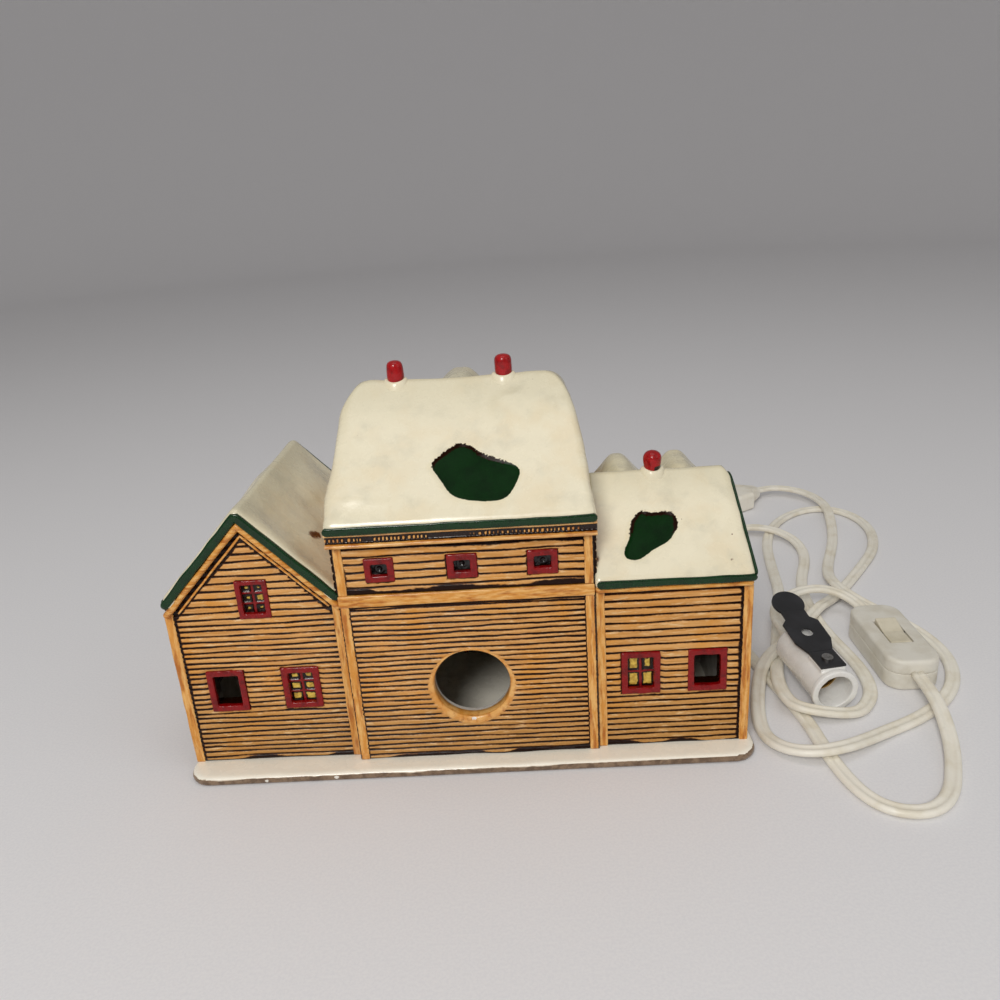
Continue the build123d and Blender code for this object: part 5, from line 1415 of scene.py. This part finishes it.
TOP_ROW = ((0, 2), (1, 2))
sash_sets = {
    "left_pane_window_sash": [low_sash(left_back, LEFT_WINDOWS[1], 2, 3, 161, TOP_ROW)],
    "left_gable_window_sash": [
        gable_sash(left_back, GABLE_WINDOW_X, 162, TOP_ROW + ((0, 0), (1, 0), (0, 1)))],
    "right_pane_window_sash": [low_sash(right_back, RIGHT_WINDOWS[0], 2, 2, 163, ((1, 1),))],
    "front_window_sashes":
        [low_sash(left_front, -x, 2, 3, 170 + k) for k, x in enumerate(LEFT_WINDOWS)]
        + [gable_sash(left_front, -GABLE_WINDOW_X, 173)]
        + [low_sash(main_front, -x, 2, 3, 174 + k) for k, x in enumerate(FRONT_WINDOWS)]
        + [sash(main_front, *small(-x), LOW_BORDER, 2, 2, 178 + k) for k, x in enumerate(SMALL_WINDOWS)]
        + [low_sash(right_front, -x, 2, 2, 182 + k) for k, x in enumerate(RIGHT_WINDOWS)],
    "side_window_sashes":
        [low_sash(left_side, -y, 2, 3, 186 + k) for k, y in enumerate(LEFT_SIDE_WINDOWS)]
        + [low_sash(right_side, y, 2, 2, 190 + k) for k, y in enumerate(RIGHT_SIDE_WINDOWS)],
}
for node_name, parts in sash_sets.items():
    add_piece("painted_" + node_name, parts, SASH, "pane_glaze", node_name)


# Small windows painted on the front gable and the dormers
def raised_frame(u, z, w, h, y, seed):
    """Four strips round a window on a closed wall."""
    turns = ((1, -1), (1, 1), (-1, 1), (-1, -1), (1, -1))
    corners = [np.array((across * w / 2 - u, y, z + up * h / 2)) for across, up in turns]
    strips = []
    for k in range(4):
        reach = 0.7 * unit(corners[k + 1] - corners[k])
        strips.append(moulding([corners[k] - reach, corners[k + 1] + reach], FRONT, 1.6, 2.0, seed + k))
    return strips


HIGH_WINDOWS = [(-GABLE_X, 112.6, 9.0, 8.4, GABLE_FRONT_Y + 0.3)]
HIGH_WINDOWS += [(-x, DORMER_WINDOW_Z, 7.6, 6.4, RIGHT_FRONT_Y) for x in DORMERS_X]
frame_strips, high_sashes = [], []
for k, (u, z, w, h, y) in enumerate(HIGH_WINDOWS):
    frame_strips += raised_frame(u, z, w, h, y, 210 + 5 * k)
    high_sashes.append(sash(front_face(y + 1.9), u, z, w, h, 0.3, 2, 2, 230 + k))
add_piece("high_window_frames", frame_strips, RED_PAINT, "red_glaze")
add_piece("high_window_sashes", high_sashes, SASH, "pane_glaze")

# Front door
soft_piece("painted_door", "front_door", 0.3, 3, GREEN_PAINT, ((4.0, 0.1, 195),))
soft_piece("painted_door_frame", "door_frame", 0.35, 4, RED_PAINT, ((3.0, 0.1, 196),))

# Moulded solids of the cord set, with eased edges
for node_name, material, slot, voxel, body in (
    ("lampholder_sleeve", HOLDER, "holder_plastic", 0.32, "house"),
    ("switch_base", SWITCH, "switch_plastic", 0.4, "house"),
    ("switch_cover", SWITCH, "switch_plastic", 0.4, "house"),
    ("switch_rocker", ROCKER, "rocker_plastic", 0.3, "rocker"),
):
    soft_piece("moulded_" + node_name, node_name, voxel, 3, material, body=body)

# Finishes of the cord set's other solids
for node_name, material in (
    ("contact_insulator", ROCKER), ("screw_shell", BRASS), ("centre_contact", BRASS), ("clip_foot", CLIP),
    ("clip_arm", CLIP), ("clip_rivet", STEEL), ("rocker_pin", STEEL), ("plug_body", SHEATH),
    ("plug_blades", BRASS),
):
    finish_node(node_name, material)

# Floor and backdrop
BOWL_FLAT, BOWL_CURVE, BOWL_TOP, BOWL_STEPS = 2100.0, 600.0, 1700.0, 128
bowl = [(radius, 0.0) for radius in (1.0, 300.0, 700.0, 1200.0, BOWL_FLAT)]
bowl += [
    (BOWL_FLAT + BOWL_CURVE * math.sin(a), BOWL_CURVE * (1 - math.cos(a)))
    for a in np.radians(np.linspace(6, 90, 15))]
bowl.append((BOWL_FLAT + BOWL_CURVE, BOWL_TOP))
bowl_rings = lathe((0, 0, 0), UP, bowl, BOWL_STEPS)
bowl_faces = [list(range(BOWL_STEPS))] + ring_faces(len(bowl), BOWL_STEPS, (3, 2, 1, 0))
floor_mesh = bpy.data.meshes.new("floor")
floor_mesh.from_pydata([tuple(v) for v in bowl_rings.reshape(-1, 3) * MM], [], bowl_faces)
floor_mesh.polygons.foreach_set("use_smooth", [True] * len(floor_mesh.polygons))
floor = bpy.data.objects.new("floor", floor_mesh)
scene.collection.objects.link(floor)
floor_mesh.materials.append(cloth_material())

# Soft studio light
world = bpy.data.worlds.new("studio")
scene.world = world
world.use_nodes = True
sky = world.node_tree
sky_light = sky.nodes["Background"]
sky_light.inputs["Color"].default_value = (1.0, 0.98, 0.96, 1.0)
sky_light.inputs["Strength"].default_value = 0.28
sky_seen = sky.nodes.new("ShaderNodeBackground")
sky_seen.inputs["Color"].default_value = srgb(176, 175, 177)
by_ray, pick = sky.nodes.new("ShaderNodeLightPath"), sky.nodes.new("ShaderNodeMixShader")
sky.links.new(by_ray.outputs["Is Camera Ray"], pick.inputs[0])
sky.links.new(sky_light.outputs[0], pick.inputs[1])
sky.links.new(sky_seen.outputs[0], pick.inputs[2])
sky.links.new(pick.outputs[0], sky.nodes["World Output"].inputs[0])


def area_light(name, place, target, size, power, colour=(1, 1, 1)):
    data = bpy.data.lights.new(name, "AREA")
    data.shape = "DISK"
    data.size = size
    data.energy = power
    data.color = colour
    lamp = bpy.data.objects.new(name, data)
    scene.collection.objects.link(lamp)
    lamp.location = place
    lamp.rotation_euler = (Vector(target) - Vector(place)).to_track_quat("-Z", "Y").to_euler()


area_light("key", (-0.25, -0.95, 0.8), (0.0, 0.0, 0.05), 0.4, 7.4, (1.0, 0.985, 0.96))
area_light("fill", (0.9, -0.5, 0.7), (0.0, 0.0, 0.06), 0.9, 1.1)
area_light("top", (0.0, -0.15, 1.3), (0.0, 0.0, 0.0), 0.9, 2.1)
